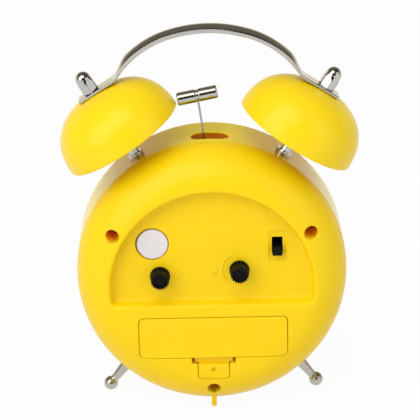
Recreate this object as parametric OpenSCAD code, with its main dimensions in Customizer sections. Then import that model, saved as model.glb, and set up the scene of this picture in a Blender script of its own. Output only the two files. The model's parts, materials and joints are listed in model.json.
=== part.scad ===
// Twin bell alarm clock, seen from the rear in the photograph.
// +Z is up, the dial faces -Y and the rear cover faces +Y.
// The origin lies on the table, at the bottom centre of the bounding box.

/* [Case] */
// Outer diameter of the case band
case_d = 107; // [105:0.5:112]
// Height of the lowest point of the case over the table
floor_gap = 2; // [1.5:0.1:4]
// Length of the band, from its seam with the rear cover to its front edge
band_depth = 23.6; // [23.4:0.1:27]
// Wall of the band
band_wall = 1.6; // [1.3:0.1:1.8]
// Depth of the rear cover, and radius of its rounded edge
cover_depth = 17.2; // [16.8:0.1:18.4]
// Wall of the rear cover
cover_wall = 1.8; // [1.5:0.1:2]
// Length of the slot that the hammer wire passes
slot_l = 15; // [12:0.5:18]
// Width of the slot that the hammer wire passes
slot_w = 8.5; // [5:0.5:9]

/* [Front] */
// Depth of the front bezel ahead of the band
bezel_depth = 2.8; // [2.4:0.1:4]
// Radial width of the front bezel
bezel_w = 6.5; // [6:0.1:9]
// Thickness of the clear lens
lens_t = 1.6; // [1:0.1:2]
// Thickness of the dial plate
dial_t = 1; // [0.6:0.1:1.2]
// Distance from the seam to the back of the dial
dial_back = 15; // [14.6:0.1:15.4]

/* [Recess in the rear cover] */
// Depth of the half-moon recess
recess_depth = 5; // [4:0.1:5.4]
// Radius of the recess at the rear face
recess_r = 40.5; // [38:0.1:41]
// Height of the recess's arc centre, from the case centre
recess_centre_z = -2.8; // [-4:0.1:-2.5]
// Height of the recess's straight lower edge, from the case centre
recess_floor_z = -9.2; // [-9.4:0.1:-8]

/* [Bells] */
// Tilt of each bell's axis from the vertical, in degrees
bell_tilt = 32.3; // [31:0.1:34]
// Radius of a bell at its rim
bell_r = 24.8; // [22:0.1:25]
// Height of a bell from rim to crown
bell_h = 21.5; // [20:0.1:22.5]
// Wall of a bell
bell_wall = 1; // [0.8:0.1:1.2]
// Distance from the case centre to the plane of a bell's rim
bell_rim_at = 62.9; // [62:0.1:64]
// Distance of the bells' plane ahead of the seam
bell_plane = 7; // [6.5:0.1:8]
// Exponent that makes the bell's curve fuller than an ellipse
bell_fullness = 2.4; // [2.1:0.1:2.6]
// Radius of the threaded posts
post_r = 1.5; // [1.2:0.1:1.6]

/* [Handle] */
// Height of the handle's crest over the case centre
handle_top = 98.8; // [96:0.1:104]
// Radius of the handle's crest, at the outside
crest_r = 54; // [50:0.5:60]
// Half of the angle that the crest spans, in degrees
crest_half_angle = 17.5; // [14:0.5:20]
// Radius of the handle's shoulders, at the outside
shoulder_arc_r = 40.6; // [38:0.1:43]
// Width of the handle strap
handle_w = 8; // [6:0.1:8.6]
// Thickness of the strap at its crowned middle
handle_t = 3; // [2.2:0.1:3.2]
// Thickness of the flat tabs under the nuts
tab_t = 1.1; // [0.8:0.1:1.4]

/* [Feet] */
// Angle of each front leg from straight down, in degrees
foot_tilt = 38.4; // [35:0.1:42]
// Radius of the ball at the end of a leg
ball_r = 2.85; // [2.4:0.05:3.4]
// Depth of the flat that a ball rests on
ball_flat = 0.25; // [0.15:0.05:0.4]
// Distance of the front legs' plane ahead of the seam
foot_plane = 11; // [9:0.5:13]
// Thickness of the rear leg
rear_leg_w = 2; // [1.6:0.1:4]
// Distance of the rear leg's back edge behind the seam, on the ground
rear_leg_y = 8.8; // [8:0.1:9]

/* [Controls] */
// Sideways place of the time knob
time_knob_x = 20.5; // [20:0.1:21]
// Height of the time knob over the case centre
time_knob_z = 2.2; // [1.5:0.1:3]
// Sideways place of the alarm knob
alarm_knob_x = -10.65; // [-11.2:0.05:-10.4]
// Height of the alarm knob over the case centre
alarm_knob_z = 4.2; // [3.6:0.1:5]
// Radius of a knob's collar
knob_r = 3.95; // [3.6:0.05:4.4]
// Length of a knob
knob_l = 6.6; // [5:0.1:8]
// Radius of the shafts that the knobs sit on
shaft_r = 1.35; // [1.2:0.05:1.5]
// Sideways place of the light button's hole
button_x = 23.4; // [23:0.1:24]
// Height of the light button's hole over the case centre
button_z = 15.3; // [14.6:0.1:16]
// Radius of the light button's hole
button_hole_r = 6.55; // [6.2:0.05:6.8]
// Travel of the light button
button_travel = 1.2; // [0.8:0.1:1.3]
// Sideways place of the alarm switch
switch_x = -25.6; // [-26.5:0.1:-25]
// Height of the alarm switch's window over the case centre
switch_z = 13.8; // [13.2:0.1:14.6]
// Travel of the alarm switch's lever
switch_travel = 3.2; // [2.4:0.1:3.4]

/* [Battery] */
// Length of the battery cell with its nub
cell_l = 50.5; // [50:0.1:50.8]
// Radius of the battery cell
cell_r = 7.1; // [6.8:0.05:7.15]
// Height of the battery door's opening
door_h = 17.3; // [17.2:0.1:17.6]
// Height of the opening's top edge, from the case centre
door_top_z = -13.9; // [-14.1:0.1:-13.7]
// Thickness of the battery door
door_t = 1.6; // [1.4:0.1:1.7]

/* [Striker] */
// Height of the hammer's pivot over the case centre
pivot_z = 38; // [37.6:0.1:39]
// Height of the hammer head over the case centre
hammer_z = 69.9; // [69.8:0.1:72]
// Tilt of the hammer head against its wire, in degrees
head_tilt = 3; // [0:0.5:4]
// Sideways swing of the hammer head from the middle
hammer_swing = 4.54; // [4.3:0.02:4.7]
// Radius of the hammer head
head_r = 2.6; // [2.3:0.05:2.7]
// Radius of the hammer wire
wire_r = 0.4; // [0.3:0.05:0.5]
// Length of the hammer's tail from the pivot to the crank's centre
tail_l = 8.2; // [8.1:0.05:8.4]

/* [Movement] */
// Module of the hand-setting gears
gear_module = 0.5; // [0.5:0.005:0.53]
// Teeth of the cannon pinion
cannon_teeth = 10; // [10]
// Teeth of the minute wheel
minute_teeth = 30; // [30]
// Teeth of the minute wheel's pinion
minute_pinion_teeth = 8; // [8]
// Teeth of the hour wheel
hour_teeth = 32; // [32]
// Teeth of the time setting gear
setting_teeth = 15; // [15]
// Teeth of the alarm wheel
alarm_teeth = 32; // [32]
// Teeth of the alarm setting gear
alarm_setting_teeth = 14; // [14]
// Distance from the centre to the third wheel's axis
third_distance = 7; // [6.8:0.05:7.2]
// Distance from the centre to the intermediate wheel's axis
inter_distance = 7.15; // [7.1:0.05:7.3]
// Distance from the intermediate wheel's axis to the rotor's axis
rotor_distance = 6.6; // [6.5:0.05:6.8]
// Wall of the movement's housings
housing_wall = 1.2; // [1:0.1:1.4]
// Length of the hour hand
hour_hand_l = 27; // [20:0.5:30]
// Length of the minute hand
minute_hand_l = 39; // [32:0.5:42]
// Length of the second hand
second_hand_l = 41; // [30:0.5:43]
// Length of the alarm hand
alarm_hand_l = 24; // [15:0.5:28]

/* [Hidden] */
$fn = 96;

// Clearances and the overrun of cuts
over = 1;
fit_gap = 0.2;
seat_gap = 0.3;
shaft_gap = 0.07;
press_gap = 0.03;

// The seam plane is y = 0 and the case centre z = 0 inside on_case()
case_r = case_d / 2;
centre_h = case_r + floor_gap;
knob_seat = 0.4;
pan_y = cover_depth - recess_depth;
pan_inner_y = pan_y - cover_wall;
knob_y0 = pan_y + knob_seat;
front_reach = max(bell_plane + bell_r, band_depth + bezel_depth);
rear_reach = max(knob_y0 + knob_l, cover_depth);
seam_y = (front_reach - rear_reach) / 2;
band_inner_r = case_r - band_wall;

// Front assembly
spigot_t = 1.5;
spigot_l = 2.2;
bezel_round = 2;
bezel_lip = 1.2;
glass_r = band_inner_r - fit_gap - spigot_t - fit_gap;
bezel_inner_r = case_r - bezel_w;
lens_y1 = -(band_depth + bezel_depth - bezel_lip - press_gap - lens_t);
dial_y1 = -dial_back;
dial_y0 = dial_y1 - dial_t;
ledge_w = 3.8;
ledge_t = 1.4;
dial_ring_w = 2.2;
lamp_z = 15.6;
lamp_r = 1.5;

// Cover screws and their bosses
lip_l = 2.2;
lip_t = 1.4;
screw_side_inset = 10.07;
screw_side_angle = 27.27;
screw_low_inset = 8;
screw_well_r = 2.7;
screw_well_wall = 1.1;
screw_seat_y = 1.6;
screw_head_r = 2.3;
screw_head_h = 1.7;
screw_r = 1.2;
screw_l = 10;
drive_w = 0.6;
drive_l = 3;
boss_r = 3;
boss_web = 2.6;
boss_step = 0.5;
cover_screws_at = [
  polar(case_r - screw_side_inset, screw_side_angle),
  polar(case_r - screw_side_inset, 180 - screw_side_angle),
  polar(case_r - screw_low_inset, -90)
];

// Rear cover details
cover_flat_r = case_r - cover_depth;
recess_draft = 1.2;
knob_hole_r = 2.3;
switch_pocket = 0.4;
switch_pocket_w = 6.6;
switch_pocket_h = 12.2;
window_w = 4.2;
lever_w = 3.7;
lever_h = 3.5;
window_h = lever_h + switch_travel + seat_gap;
icon_h = 0.25;
icon_w = 0.6;
icon_arc_r = 6.9;
icon_from_angle = -45;
icon_span_angle = 105;
icon_bell_r = 1.5;
icon_arrow = 1.8;
icon_bell_shares = [[-1, 0], [1, 0], [1.3, -1], [-1.3, -1]];
icon_arrow_shares = [[-0.5, 1], [0.5, 0], [-0.5, -1]];

// Battery door, its latch and the compartment
contact_room = 8.3;
door_w = cell_l + contact_room;
door_gap = 0.25;
door_corner_r = 2;
tray_wall = 1;
tray_depth = 15.8;
tray_margin = 0.1;
latch_slot_w = 17.4;
latch_slot_h = 2.4;
tab_w = 12.7;
tab_h = 6.8;
tab_corner_r = 1.8;
latch_pan_wall = 1.2;
latch_pan_depth = 4.4;
latch_neck_w = 15;
latch_neck_drop = 1.5;
dimple_r = 0.95;
dimple_depth = 1;
dimple_z = -36.15;
tongue_w = 4;
tongue_h = 1.6;
tongue_t = 1;
tongue_x = 20;
tongue_gap = 0.1;
tongue_room = 3.4;

// Bells, posts and nuts
bell_steps = 18;
post_in = 5.6;
post_out = 6.6;
post_foot_at = case_r - post_in;
post_tip_at = bell_rim_at + bell_h + post_out;
collar_r = 3.1;
collar_t = 1.9;
sleeve_r = 2.15;
shoulder_r = 3.4;
shoulder_t = 1;
shoulder_gap = 0.1;
tab_seat_at = bell_rim_at + bell_h;
nut_seat_at = tab_seat_at + tab_t;
nut_flats = 6.3;
nut_hex_h = 5.9;
nut_dome_r = 3.1;
nut_bore_depth = 6.4;
nut_corner_r = nut_flats / sqrt(3);
inner_nut_flats = 5;
inner_nut_h = 2.2;

// Handle: the crest, a smaller arc at each shoulder, a reverse bend and a flat tab
crest_c = handle_top - crest_r;
arc_drop = crest_r - shoulder_arc_r;
arc_c = [arc_drop * sin(crest_half_angle), crest_c + arc_drop * cos(crest_half_angle)];
nest_gap = 0.04;
lap_angle = 1.5;
strap_r = shoulder_arc_r - handle_t + 2 * nest_gap + tab_t / 2;
bend_r = 8;
tab_mid_at = tab_seat_at + tab_t / 2;
arc_c_along = arc_c[0] * sin(bell_tilt) + arc_c[1] * cos(bell_tilt);
arc_c_across = arc_c[0] * cos(bell_tilt) - arc_c[1] * sin(bell_tilt);
bend_angle = acos((tab_mid_at + bend_r - arc_c_along) / (strap_r + bend_r));
handle_half_angle = bell_tilt + bend_angle;
tab_from = arc_c_across + (strap_r + bend_r) * sin(bend_angle);
tab_end = 6;
tab_corner = 1;
crown_r = (pow(handle_w / 2, 2) + pow(handle_t / 2, 2)) / handle_t;

// Feet
ball_z = ball_r - ball_flat;
foot_at = (centre_h - ball_z) / cos(foot_tilt);
leg_top_r = 2.3;
leg_low_r = 1.45;
stud_r = 1.4;
stud_l = 5.4;
leg_fin_h = 6.4;
leg_fin_top = 5.6;
leg_fin_foot = 3.4;
leg_fin_lean = 2.4;

// Movement: planes along the axis, counted from the dial to the rear
run_gap = 0.4;
pinion_extra = 0.2;
wheel_t = 1.2;
fine_t = 0.8;
plate_t = 1;
magnet_h = 2.4;
magnet_r = 3;
front_out = dial_y1 + fit_gap;
front_in = front_out + housing_wall;
alarm_y0 = front_in + run_gap;
alarm_y1 = alarm_y0 + wheel_t;
hour_y0 = alarm_y1 + run_gap;
hour_y1 = hour_y0 + wheel_t;
minute_y0 = hour_y1 + run_gap;
minute_y1 = minute_y0 + wheel_t;
plate_y0 = minute_y1 + 2 * run_gap;
plate_y1 = plate_y0 + plate_t;
centre_y0 = plate_y1 + run_gap;
centre_y1 = centre_y0 + fine_t;
third_y0 = centre_y1 + run_gap;
third_y1 = third_y0 + fine_t;
second_y0 = third_y1 + run_gap;
second_y1 = second_y0 + fine_t;
inter_y0 = second_y1 + run_gap;
inter_y1 = inter_y0 + fine_t;
rotor_y0 = inter_y1 + run_gap;
rotor_y1 = rotor_y0 + magnet_h;
pivot_depth = 0.8;

// Movement: outline in plan
house_x0 = -18;
house_x1 = 31;
house_z0 = -12.5;
house_z1 = 19;
house_corner = 2;
post_inset = 2.3;
post_boss_r = 2;
house_screw_r = 0.95;
house_head_r = 1.8;
house_head_h = 1.1;
house_screws_at = [
  [house_x1 - post_inset, house_z0 + post_inset],
  [house_x1 - post_inset, time_knob_z + setting_teeth * gear_module / 2 + post_boss_r - pinion_extra],
  [house_x0 + post_inset, house_z0 + post_inset],
  [house_x0 + post_inset, house_z1 - post_inset]
];

// Movement: axes in plan
minute_at = gear_module * (cannon_teeth + minute_teeth) / 2;
setting_at = gear_module * (setting_teeth + minute_teeth) / 2;
time_knob_at = norm([time_knob_x, time_knob_z]);
alarm_knob_at = norm([alarm_knob_x, alarm_knob_z]);
time_knob_angle = atan2(time_knob_z, time_knob_x);
alarm_knob_angle = atan2(alarm_knob_z, alarm_knob_x);
knob_turn_angle = acos((pow(minute_at, 2) + pow(time_knob_at, 2) - pow(setting_at, 2))
                 / (2 * minute_at * time_knob_at));
minute_angle = time_knob_angle + knob_turn_angle;
minute_p = polar(minute_at, minute_angle);
time_p = [time_knob_x, time_knob_z];
alarm_p = [alarm_knob_x, alarm_knob_z];
setting_angle = atan2(time_p[1] - minute_p[1], time_p[0] - minute_p[0]);
third_angle = 220;
inter_angle = 110;
rotor_angle = 145;
third_p = polar(third_distance, third_angle);
inter_p = polar(inter_distance, inter_angle);
rotor_p = inter_p + polar(rotor_distance, rotor_angle);

// Movement: fine train
rotor_teeth = 6;
inter_teeth = 36;
inter_pinion_teeth = 6;
second_teeth = 30;
second_pinion_teeth = 6;
third_teeth = 48;
third_pinion_teeth = 6;
centre_teeth = 45;
rotor_module = 2 * rotor_distance / (rotor_teeth + inter_teeth);
inter_module = 2 * inter_distance / (inter_pinion_teeth + second_teeth);
second_module = 2 * third_distance / (second_pinion_teeth + third_teeth);
third_module = 2 * third_distance / (third_pinion_teeth + centre_teeth);
alarm_module = 2 * alarm_knob_at / (alarm_teeth + alarm_setting_teeth);
arbor_r = 0.5;
pin_r = 0.35;

// Movement: nested tubes at the centre
second_arbor_r = 0.6;
cannon_bore_r = second_arbor_r + 2 * shaft_gap;
cannon_tube_r = 1.5;
pipe_r = 1.15;
pipe_grip = 1.4;
hour_bore_r = cannon_tube_r + shaft_gap;
hour_tube_r = 2.4;
alarm_bore_r = hour_tube_r + shaft_gap;
alarm_tube_r = 3.3;
bush_bore_r = alarm_tube_r + shaft_gap;
bush_r = 4.6;
bush_out = 1.5;
dial_nut_r = 6.6;
dial_nut_t = 1.3;

// Hands, from the dial outwards
hand_t = 0.5;
hand_step = 1.25;
alarm_hand_y = dial_y0 - bush_out - fit_gap - hand_t;
hour_hand_y = alarm_hand_y - hand_step;
minute_hand_y = hour_hand_y - hand_step;
second_hand_y = minute_hand_y - hand_step;
hand_hub = 1.3;
alarm_hand_w = 1.6;
hour_hand_w = 4.2;
minute_hand_w = 3.4;
second_hand_w = 0.9;
second_tail_share = 0.28;
alarm_tip_share = 0.3;
hour_tip_share = 0.2;
minute_tip_share = 0.12;
second_tip_share = 0.1;
alarm_hand_angle = 210;
hour_hand_angle = 305;
minute_hand_angle = 60;
second_hand_angle = 210;

// Coil, stator and board
coil_r = 2;
coil_l = 14;
coil_x = 3.5;
coil_z = 15.2;
coil_flange_t = 0.8;
coil_core_r = 0.8;
stator_t = 0.9;
stator_gap = 0.5;
stator_ring = 1.4;
stator_rise_share = 0.3;
stator_y0 = rotor_y0 + stator_rise_share * magnet_h;
coil_y = stator_y0 + stator_t / 2;
board_x0 = 8;
board_x1 = 20.6;
board_z0 = 6.6;
board_z1 = 16.6;
board_t = 0.9;
board_gap = 0.55;
board_y0 = coil_y + coil_r + board_gap;
board_post_r = 1;
board_post_l = 1.98;
rear_in = board_y0 + board_t + board_post_l;
rear_out = rear_in + housing_wall;
chip_w = 4;
chip_t = 0.8;
crystal_r = 1;
crystal_l = 6;

// Knobs
knob_ribs = 18;
knob_collar_l = 1.2;
knob_body_r = 3.6;
knob_groove_depth = 0.5;
knob_hole_depth = 2;

// Light button, its spring and switch
button_shift = 0.2;
button_gap = 0.5;
button_r = button_hole_r - button_gap;
button_proud = 0.3;
button_flange_r = button_hole_r + 1.3 * button_gap;
button_flange_t = 0.9;
button_flange_gap = 0.3;
button_wall = 1;
tact_w = 5.6;
tact_h = 1.8;
tact_pin_r = 1.6;
tact_pin_h = 0.2;
spring_wire_r = 0.25;
spring_turns = 3;

// Alarm switch
switch_box_w = 7.4;
switch_box_h = 14;
switch_box_d = 4.2;
switch_box_wall = 1;
slider_t = 1.4;
slider_gap = 0.25;
lever_out = 2.3;

// Battery contacts
contact_t = 0.4;
contact_w = 10;
nub_r = 2.7;
nub_l = 1.3;
contact_spring_turns = 3;
contact_spring_wide = 5;
contact_spring_narrow = 3;
contact_wire_r = 0.4;

// Striker: the head swings from one bell's rim to the other's
strike_gap = 0.11;
rim_gap = bell_rim_at * sin(bell_tilt) - bell_r * cos(bell_tilt);
head_l = 2 * (rim_gap - hammer_swing - strike_gap);
hammer_lean = atan(hammer_swing / (hammer_z - pivot_z));

// Striker: bracket, crank and motor
base_t = 1.4;
base_x = 15;
base_y0 = -11;
base_y1 = 4;
bracket_x0 = -15;
bracket_x1 = 8;
bracket_t = 1.4;
bracket_y0 = -3.4;
bracket_top = 4;
crank_module = 0.4;
crank_teeth = 32;
motor_teeth = 8;
crank_z = pivot_z - tail_l;
crank_t = 1.2;
crank_y1 = bracket_y0 - 0.5 * crank_t;
crank_y0 = crank_y1 - crank_t;
crank_axle_r = 0.8;
crank_pin_r = 0.6;
crank_turn = tail_l * tan(hammer_lean);
motor_at = crank_module * (crank_teeth + motor_teeth) / 2;
motor_r = 5.6;
motor_l = pan_inner_y - 2 * fit_gap - bracket_y0 - bracket_t;
motor_shaft_r = 0.5;
motor_boss_r = 2;
motor_boss_t = 0.6;
tail_t = 1;
tail_y1 = crank_y0 - 0.35 * crank_t;
tail_y0 = tail_y1 - tail_t;
tail_w = 4.6;
fork_gap = 0.5;
fork_tip = 2.6;
hub_r = 2.3;
hub_y0 = -bell_plane - 1.2;
pivot_r = 0.9;
pivot_head_r = 1.7;
pivot_head_t = 0.8;
head_chamfer = 0.5;
head_groove = 0.3;
head_groove_w = 1.1;

// Directions in plan, and the phase of one gear meshing with another
function polar(r, a) = [r * cos(a), r * sin(a)];
function mesh_phase(phase, za, zb, dir) = dir + 180 - (phase - dir) * za / zb + 180 / zb;

// Phases of the gears, so that teeth stand in gaps at rest
minute_phase = mesh_phase(0, cannon_teeth, minute_teeth, minute_angle);
setting_phase = mesh_phase(minute_phase, minute_teeth, setting_teeth, setting_angle);
hour_phase = mesh_phase(0, minute_pinion_teeth, hour_teeth, minute_angle + 180);
alarm_setting_phase = mesh_phase(0, alarm_teeth, alarm_setting_teeth, alarm_knob_angle);
third_pinion_phase = mesh_phase(0, centre_teeth, third_pinion_teeth, third_angle);
third_phase = mesh_phase(0, second_pinion_teeth, third_teeth, third_angle);
inter_pinion_phase = mesh_phase(0, second_teeth, inter_pinion_teeth, inter_angle);
rotor_phase = mesh_phase(0, inter_teeth, rotor_teeth, rotor_angle);
motor_angle = 180;
motor_phase = mesh_phase(0, crank_teeth, motor_teeth, motor_angle);

// One tooth: its corners as shares of the pitch, and their heights as shares of the module
tooth_pitch_shares = [-0.27, -0.09, 0.09, 0.27];
tooth_height_shares = [-1.15, 0.8, 0.8, -1.15];
rib_pitch_shares = [-0.36, -0.24, 0.24, 0.36];

// Colours
yellow = "#f6cf12";
chrome = "#c9c9c6";
steel = "#9da1a5";
brass = "#c8a44a";
natural = "#e9e6dc";
black = "#161616";
copper = "#b5652b";
lilac = "#e7e3ee";

// Placing and basic solids. Outlines lie in x and z, and depths are along y
module on_case() {
  translate([0, seam_y, centre_h]) children();
}

module at_plan(p) {
  translate([p[0], 0, p[1]]) children();
}

module rod(r, y0, y1) {
  translate([0, y0, 0]) rotate([-90, 0, 0]) cylinder(h = y1 - y0, r = r);
}

module cone_rod(r0, r1, y0, y1) {
  translate([0, y0, 0]) rotate([-90, 0, 0]) cylinder(h = y1 - y0, r1 = r0, r2 = r1);
}

module tube(ro, ri, y0, y1) {
  difference() {
    rod(ro, y0, y1);
    rod(ri, y0 - over, y1 + over);
  }
}

module slab(y0, y1) {
  translate([0, y1, 0]) rotate([90, 0, 0]) linear_extrude(y1 - y0) children();
}

module spin() {
  rotate([-90, 0, 0]) rotate_extrude() children();
}

module block(x0, x1, y0, y1, z0, z1) {
  translate([x0, y0, z0]) cube([x1 - x0, y1 - y0, z1 - z0]);
}

module rounded_rect(x0, x1, z0, z1, r) {
  translate([x0 + r, z0]) square([x1 - x0 - 2 * r, z1 - z0]);
  translate([x0, z0 + r]) square([x1 - x0, z1 - z0 - 2 * r]);
  for (x = [x0 + r, x1 - r], z = [z0 + r, z1 - r]) translate([x, z]) circle(r);
}

// A rod along a line that leans from the vertical, from one distance to another
module lean_rod(lean, r, a0, a1) {
  rotate([0, lean, 0]) translate([0, 0, a0]) cylinder(h = a1 - a0, r = r);
}

module gear_outline(teeth, m, phase) {
  polygon([
    for (i = [0 : teeth - 1], k = [0 : 3])
      polar(teeth * m / 2 + m * tooth_height_shares[k], phase + (i + tooth_pitch_shares[k]) * 360 / teeth)
  ]);
}

module gear(teeth, m, phase, y0, y1) {
  slab(y0, y1) gear_outline(teeth, m, phase);
}

// A tube swept along points, closed at both ends
function unit(v) = v / norm(v);
function ring_points(p, along, r, sides) =
  let (side = unit(cross(along, [0.31, 0.17, 0.93])), up = cross(along, side))
  [for (k = [0 : sides - 1]) p + r * (side * cos(360 * k / sides) + up * sin(360 * k / sides))];

module swept(points, r, sides) {
  n = len(points);
  rings = [
    for (i = [0 : n - 1])
      let (along = unit(points[min(i + 1, n - 1)] - points[max(i - 1, 0)]))
      each ring_points(points[i], along, r, sides)
  ];
  walls = [
    for (i = [0 : n - 2], k = [0 : sides - 1])
      let (a = i * sides + k, b = i * sides + (k + 1) % sides)
      each [[a, b + sides, b], [a, a + sides, b + sides]]
  ];
  caps = concat(
    [for (k = [1 : sides - 2]) [0, k, k + 1]],
    [for (k = [1 : sides - 2]) [(n - 1) * sides, (n - 1) * sides + k + 1, (n - 1) * sides + k]]
  );
  polyhedron(points = rings, faces = concat(walls, caps));
}

// Points of a coil whose axis is the z axis
coil_rings = 10;
coil_sides = 6;
function coil_points(r0, r1, z0, z1, turns) = [
  for (i = [0 : turns * coil_rings])
    let (s = i / (turns * coil_rings), a = 360 * i / coil_rings, r = r0 + (r1 - r0) * s)
    [r * cos(a), r * sin(a), z0 + (z1 - z0) * s]
];

// Case
module cover_profile(inset) {
  square([cover_flat_r, cover_depth - inset]);
  translate([cover_flat_r, 0]) intersection() {
    circle(cover_depth - inset);
    square(cover_depth - inset);
  }
}

module screw_bosses() {
  y0 = dial_y1 + ledge_t / 2;
  y1 = -lip_l - fit_gap;
  for (p = cover_screws_at) {
    at_plan(p) rod(boss_r, y0, y1);
    rotate([0, -atan2(p[1], p[0]), 0])
      block(norm(p) + boss_r / 2, band_inner_r + band_wall / 2, y0, y1 - boss_step,
            -boss_web / 2, boss_web / 2);
  }
}

module hammer_slot() {
  translate([0, -bell_plane, 0]) linear_extrude(case_r + over) {
    square([slot_l - slot_w, slot_w], center = true);
    for (s = [-1, 1]) translate([s * (slot_l - slot_w) / 2, 0]) circle(slot_w / 2);
  }
}

module case_band() {
  color(yellow) on_case() difference() {
    union() {
      tube(case_r, band_inner_r, -band_depth, 0);
      tube(band_inner_r + band_wall / 2, case_r - band_wall - ledge_w, dial_y1, dial_y1 + ledge_t);
      screw_bosses();
    }
    hammer_slot();
    translate([0, -bell_plane, 0])
      for (s = [-1, 1]) lean_rod(s * bell_tilt, post_r + fit_gap, post_foot_at, case_r + over);
    translate([0, -foot_plane, 0])
      for (s = [-1, 1]) lean_rod(180 + s * foot_tilt, stud_r + fit_gap, case_r - stud_l, case_r + over);
    for (p = cover_screws_at) at_plan(p) rod(screw_r, screw_seat_y - screw_l, -lip_l);
  }
}

// The half-moon recess, drafted so that it narrows to its floor
module recess_cut(grow) {
  wide = recess_r + grow;
  intersection() {
    at_plan([0, recess_centre_z]) union() {
      cone_rod(wide - recess_draft, wide, pan_y - grow, cover_depth);
      rod(wide, cover_depth, cover_depth + over);
    }
    block(-case_r, case_r, pan_y - grow, cover_depth + over, recess_floor_z - grow, case_r);
  }
}

module tray_block(inset, y1) {
  half = door_w / 2 + tray_margin - inset;
  y0 = cover_depth - cover_wall - tray_depth + inset;
  z1 = door_top_z + tray_margin - inset;
  z0 = door_top_z - door_h - tray_margin + inset;
  block(-half, half, y0, y1, z0, z1);
}

module door_outline(inset) {
  half = door_w / 2 - inset;
  rounded_rect(-half, half, door_top_z - door_h + inset, door_top_z - inset, door_corner_r - inset);
}

latch_z1 = door_top_z - door_h;
latch_z0 = latch_z1 - latch_slot_h;
module latch_outline(inset) {
  half = tab_w / 2 - inset;
  low = latch_z0 - tab_h + inset;
  translate([-half, low + tab_corner_r]) square([2 * half, tab_h - tab_corner_r + latch_slot_h]);
  rounded_rect(-half, half, low, latch_z0, tab_corner_r - inset);
}

module latch_pan() {
  half = latch_slot_w / 2 + latch_pan_wall;
  block(-half, half, cover_depth - latch_pan_depth, cover_depth, latch_z0 - tab_h - latch_pan_wall, latch_z1);
}

module cover_icons() {
  at_plan(alarm_p) translate([0, pan_y, 0])
    arc_sweep(icon_arc_r, icon_from_angle, icon_span_angle) square([icon_w, 2 * icon_h], center = true);
  at_plan(alarm_p + [icon_arc_r + 2 * icon_bell_r, 0]) slab(pan_y - icon_h, pan_y + icon_h) {
    circle(icon_bell_r);
    polygon(icon_bell_r * icon_bell_shares);
  }
  at_plan(time_p + [-knob_r - 2.2 * icon_arrow, icon_arrow / 2]) slab(pan_y - icon_h, pan_y + icon_h)
    polygon(icon_arrow * icon_arrow_shares);
}

module rear_leg() {
  z0 = -centre_h;
  translate([-rear_leg_w / 2, 0, 0]) rotate([90, 0, 90]) linear_extrude(rear_leg_w)
    polygon([
      [rear_leg_y - leg_fin_foot, z0],
      [rear_leg_y, z0],
      [rear_leg_y + leg_fin_lean, z0 + leg_fin_h],
      [rear_leg_y - leg_fin_top, z0 + leg_fin_h - (leg_fin_h - floor_gap) / 2]
    ]);
}

module back_cover() {
  color(yellow) on_case() difference() {
    union() {
      difference() {
        spin() cover_profile(0);
        spin() cover_profile(cover_wall);
      }
      intersection() {
        spin() cover_profile(0);
        union() {
          recess_cut(cover_wall);
          tray_block(0, cover_depth - door_t);
          latch_pan();
          for (p = cover_screws_at) at_plan(p) rod(screw_well_r + screw_well_wall, 0, cover_depth);
        }
      }
      for (p = cover_screws_at) at_plan(p) rod(screw_well_r + screw_well_wall, -lip_l, over);
      tube(band_inner_r - fit_gap, band_inner_r - fit_gap - lip_t, -lip_l, cover_wall);
      tray_block(0, over);
      rear_leg();
    }
    recess_cut(0);
    tray_block(tray_wall, cover_depth + over);
    slab(cover_depth - cover_wall - over, cover_depth + over) door_outline(0);
    slab(cover_depth - latch_pan_depth + latch_pan_wall, cover_depth + over) {
      latch_outline(0);
      translate([-latch_slot_w / 2, latch_z0]) square([latch_slot_w, latch_slot_h + door_corner_r]);
    }
    for (s = [-1, 0, 1])
      block(s * tongue_x - tongue_w / 2 - seat_gap, s * tongue_x + tongue_w / 2 + seat_gap,
            cover_depth - cover_wall - tongue_room, cover_depth - cover_wall,
            door_top_z - 2 * tray_wall, door_top_z + tray_margin + over);
    for (p = cover_screws_at) at_plan(p) {
      rod(screw_well_r, screw_seat_y, cover_depth + over);
      rod(screw_r + fit_gap, -lip_l - over, screw_seat_y + over);
    }
    for (p = [time_p, alarm_p]) at_plan(p) rod(knob_hole_r, pan_inner_y - over, pan_y + over);
    at_plan([button_x, button_z]) rod(button_hole_r, pan_inner_y - over, pan_y + over);
    at_plan([switch_x, switch_z]) {
      block(-window_w / 2, window_w / 2, pan_inner_y - over, pan_y + over, -window_h / 2, window_h / 2);
      block(-switch_pocket_w / 2, switch_pocket_w / 2, pan_y - switch_pocket, pan_y + over,
            -switch_pocket_h / 2, switch_pocket_h / 2);
    }
  }
  color(yellow) on_case() cover_icons();
}

module front_bezel() {
  color(yellow) on_case() {
    front = -band_depth - bezel_depth;
    wall_r = glass_r + fit_gap;
    spin() {
      translate([bezel_inner_r, front]) square([bezel_w - bezel_round, bezel_lip]);
      translate([wall_r, front]) square([case_r - bezel_round - wall_r, bezel_depth]);
      translate([wall_r, front + bezel_round]) square([case_r - wall_r, bezel_depth - bezel_round]);
      translate([case_r - bezel_round, front + bezel_round]) intersection() {
        circle(bezel_round);
        translate([0, -bezel_round]) square(bezel_round);
      }
      translate([wall_r, -band_depth]) square([spigot_t, spigot_l]);
    }
  }
}

module lens() {
  color("white", 0.25) on_case() rod(glass_r, lens_y1 - lens_t, lens_y1);
}

module dial() {
  color("white") on_case() difference() {
    rod(band_inner_r - fit_gap, dial_y0, dial_y1);
    rod(bush_r + fit_gap, dial_y0 - over, dial_y1 + over);
    at_plan([0, lamp_z]) rod(lamp_r + fit_gap, dial_y0 - over, dial_y1 + over);
  }
}

module dial_ring() {
  color("white") on_case() tube(glass_r, glass_r - dial_ring_w, lens_y1, dial_y0);
}

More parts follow.
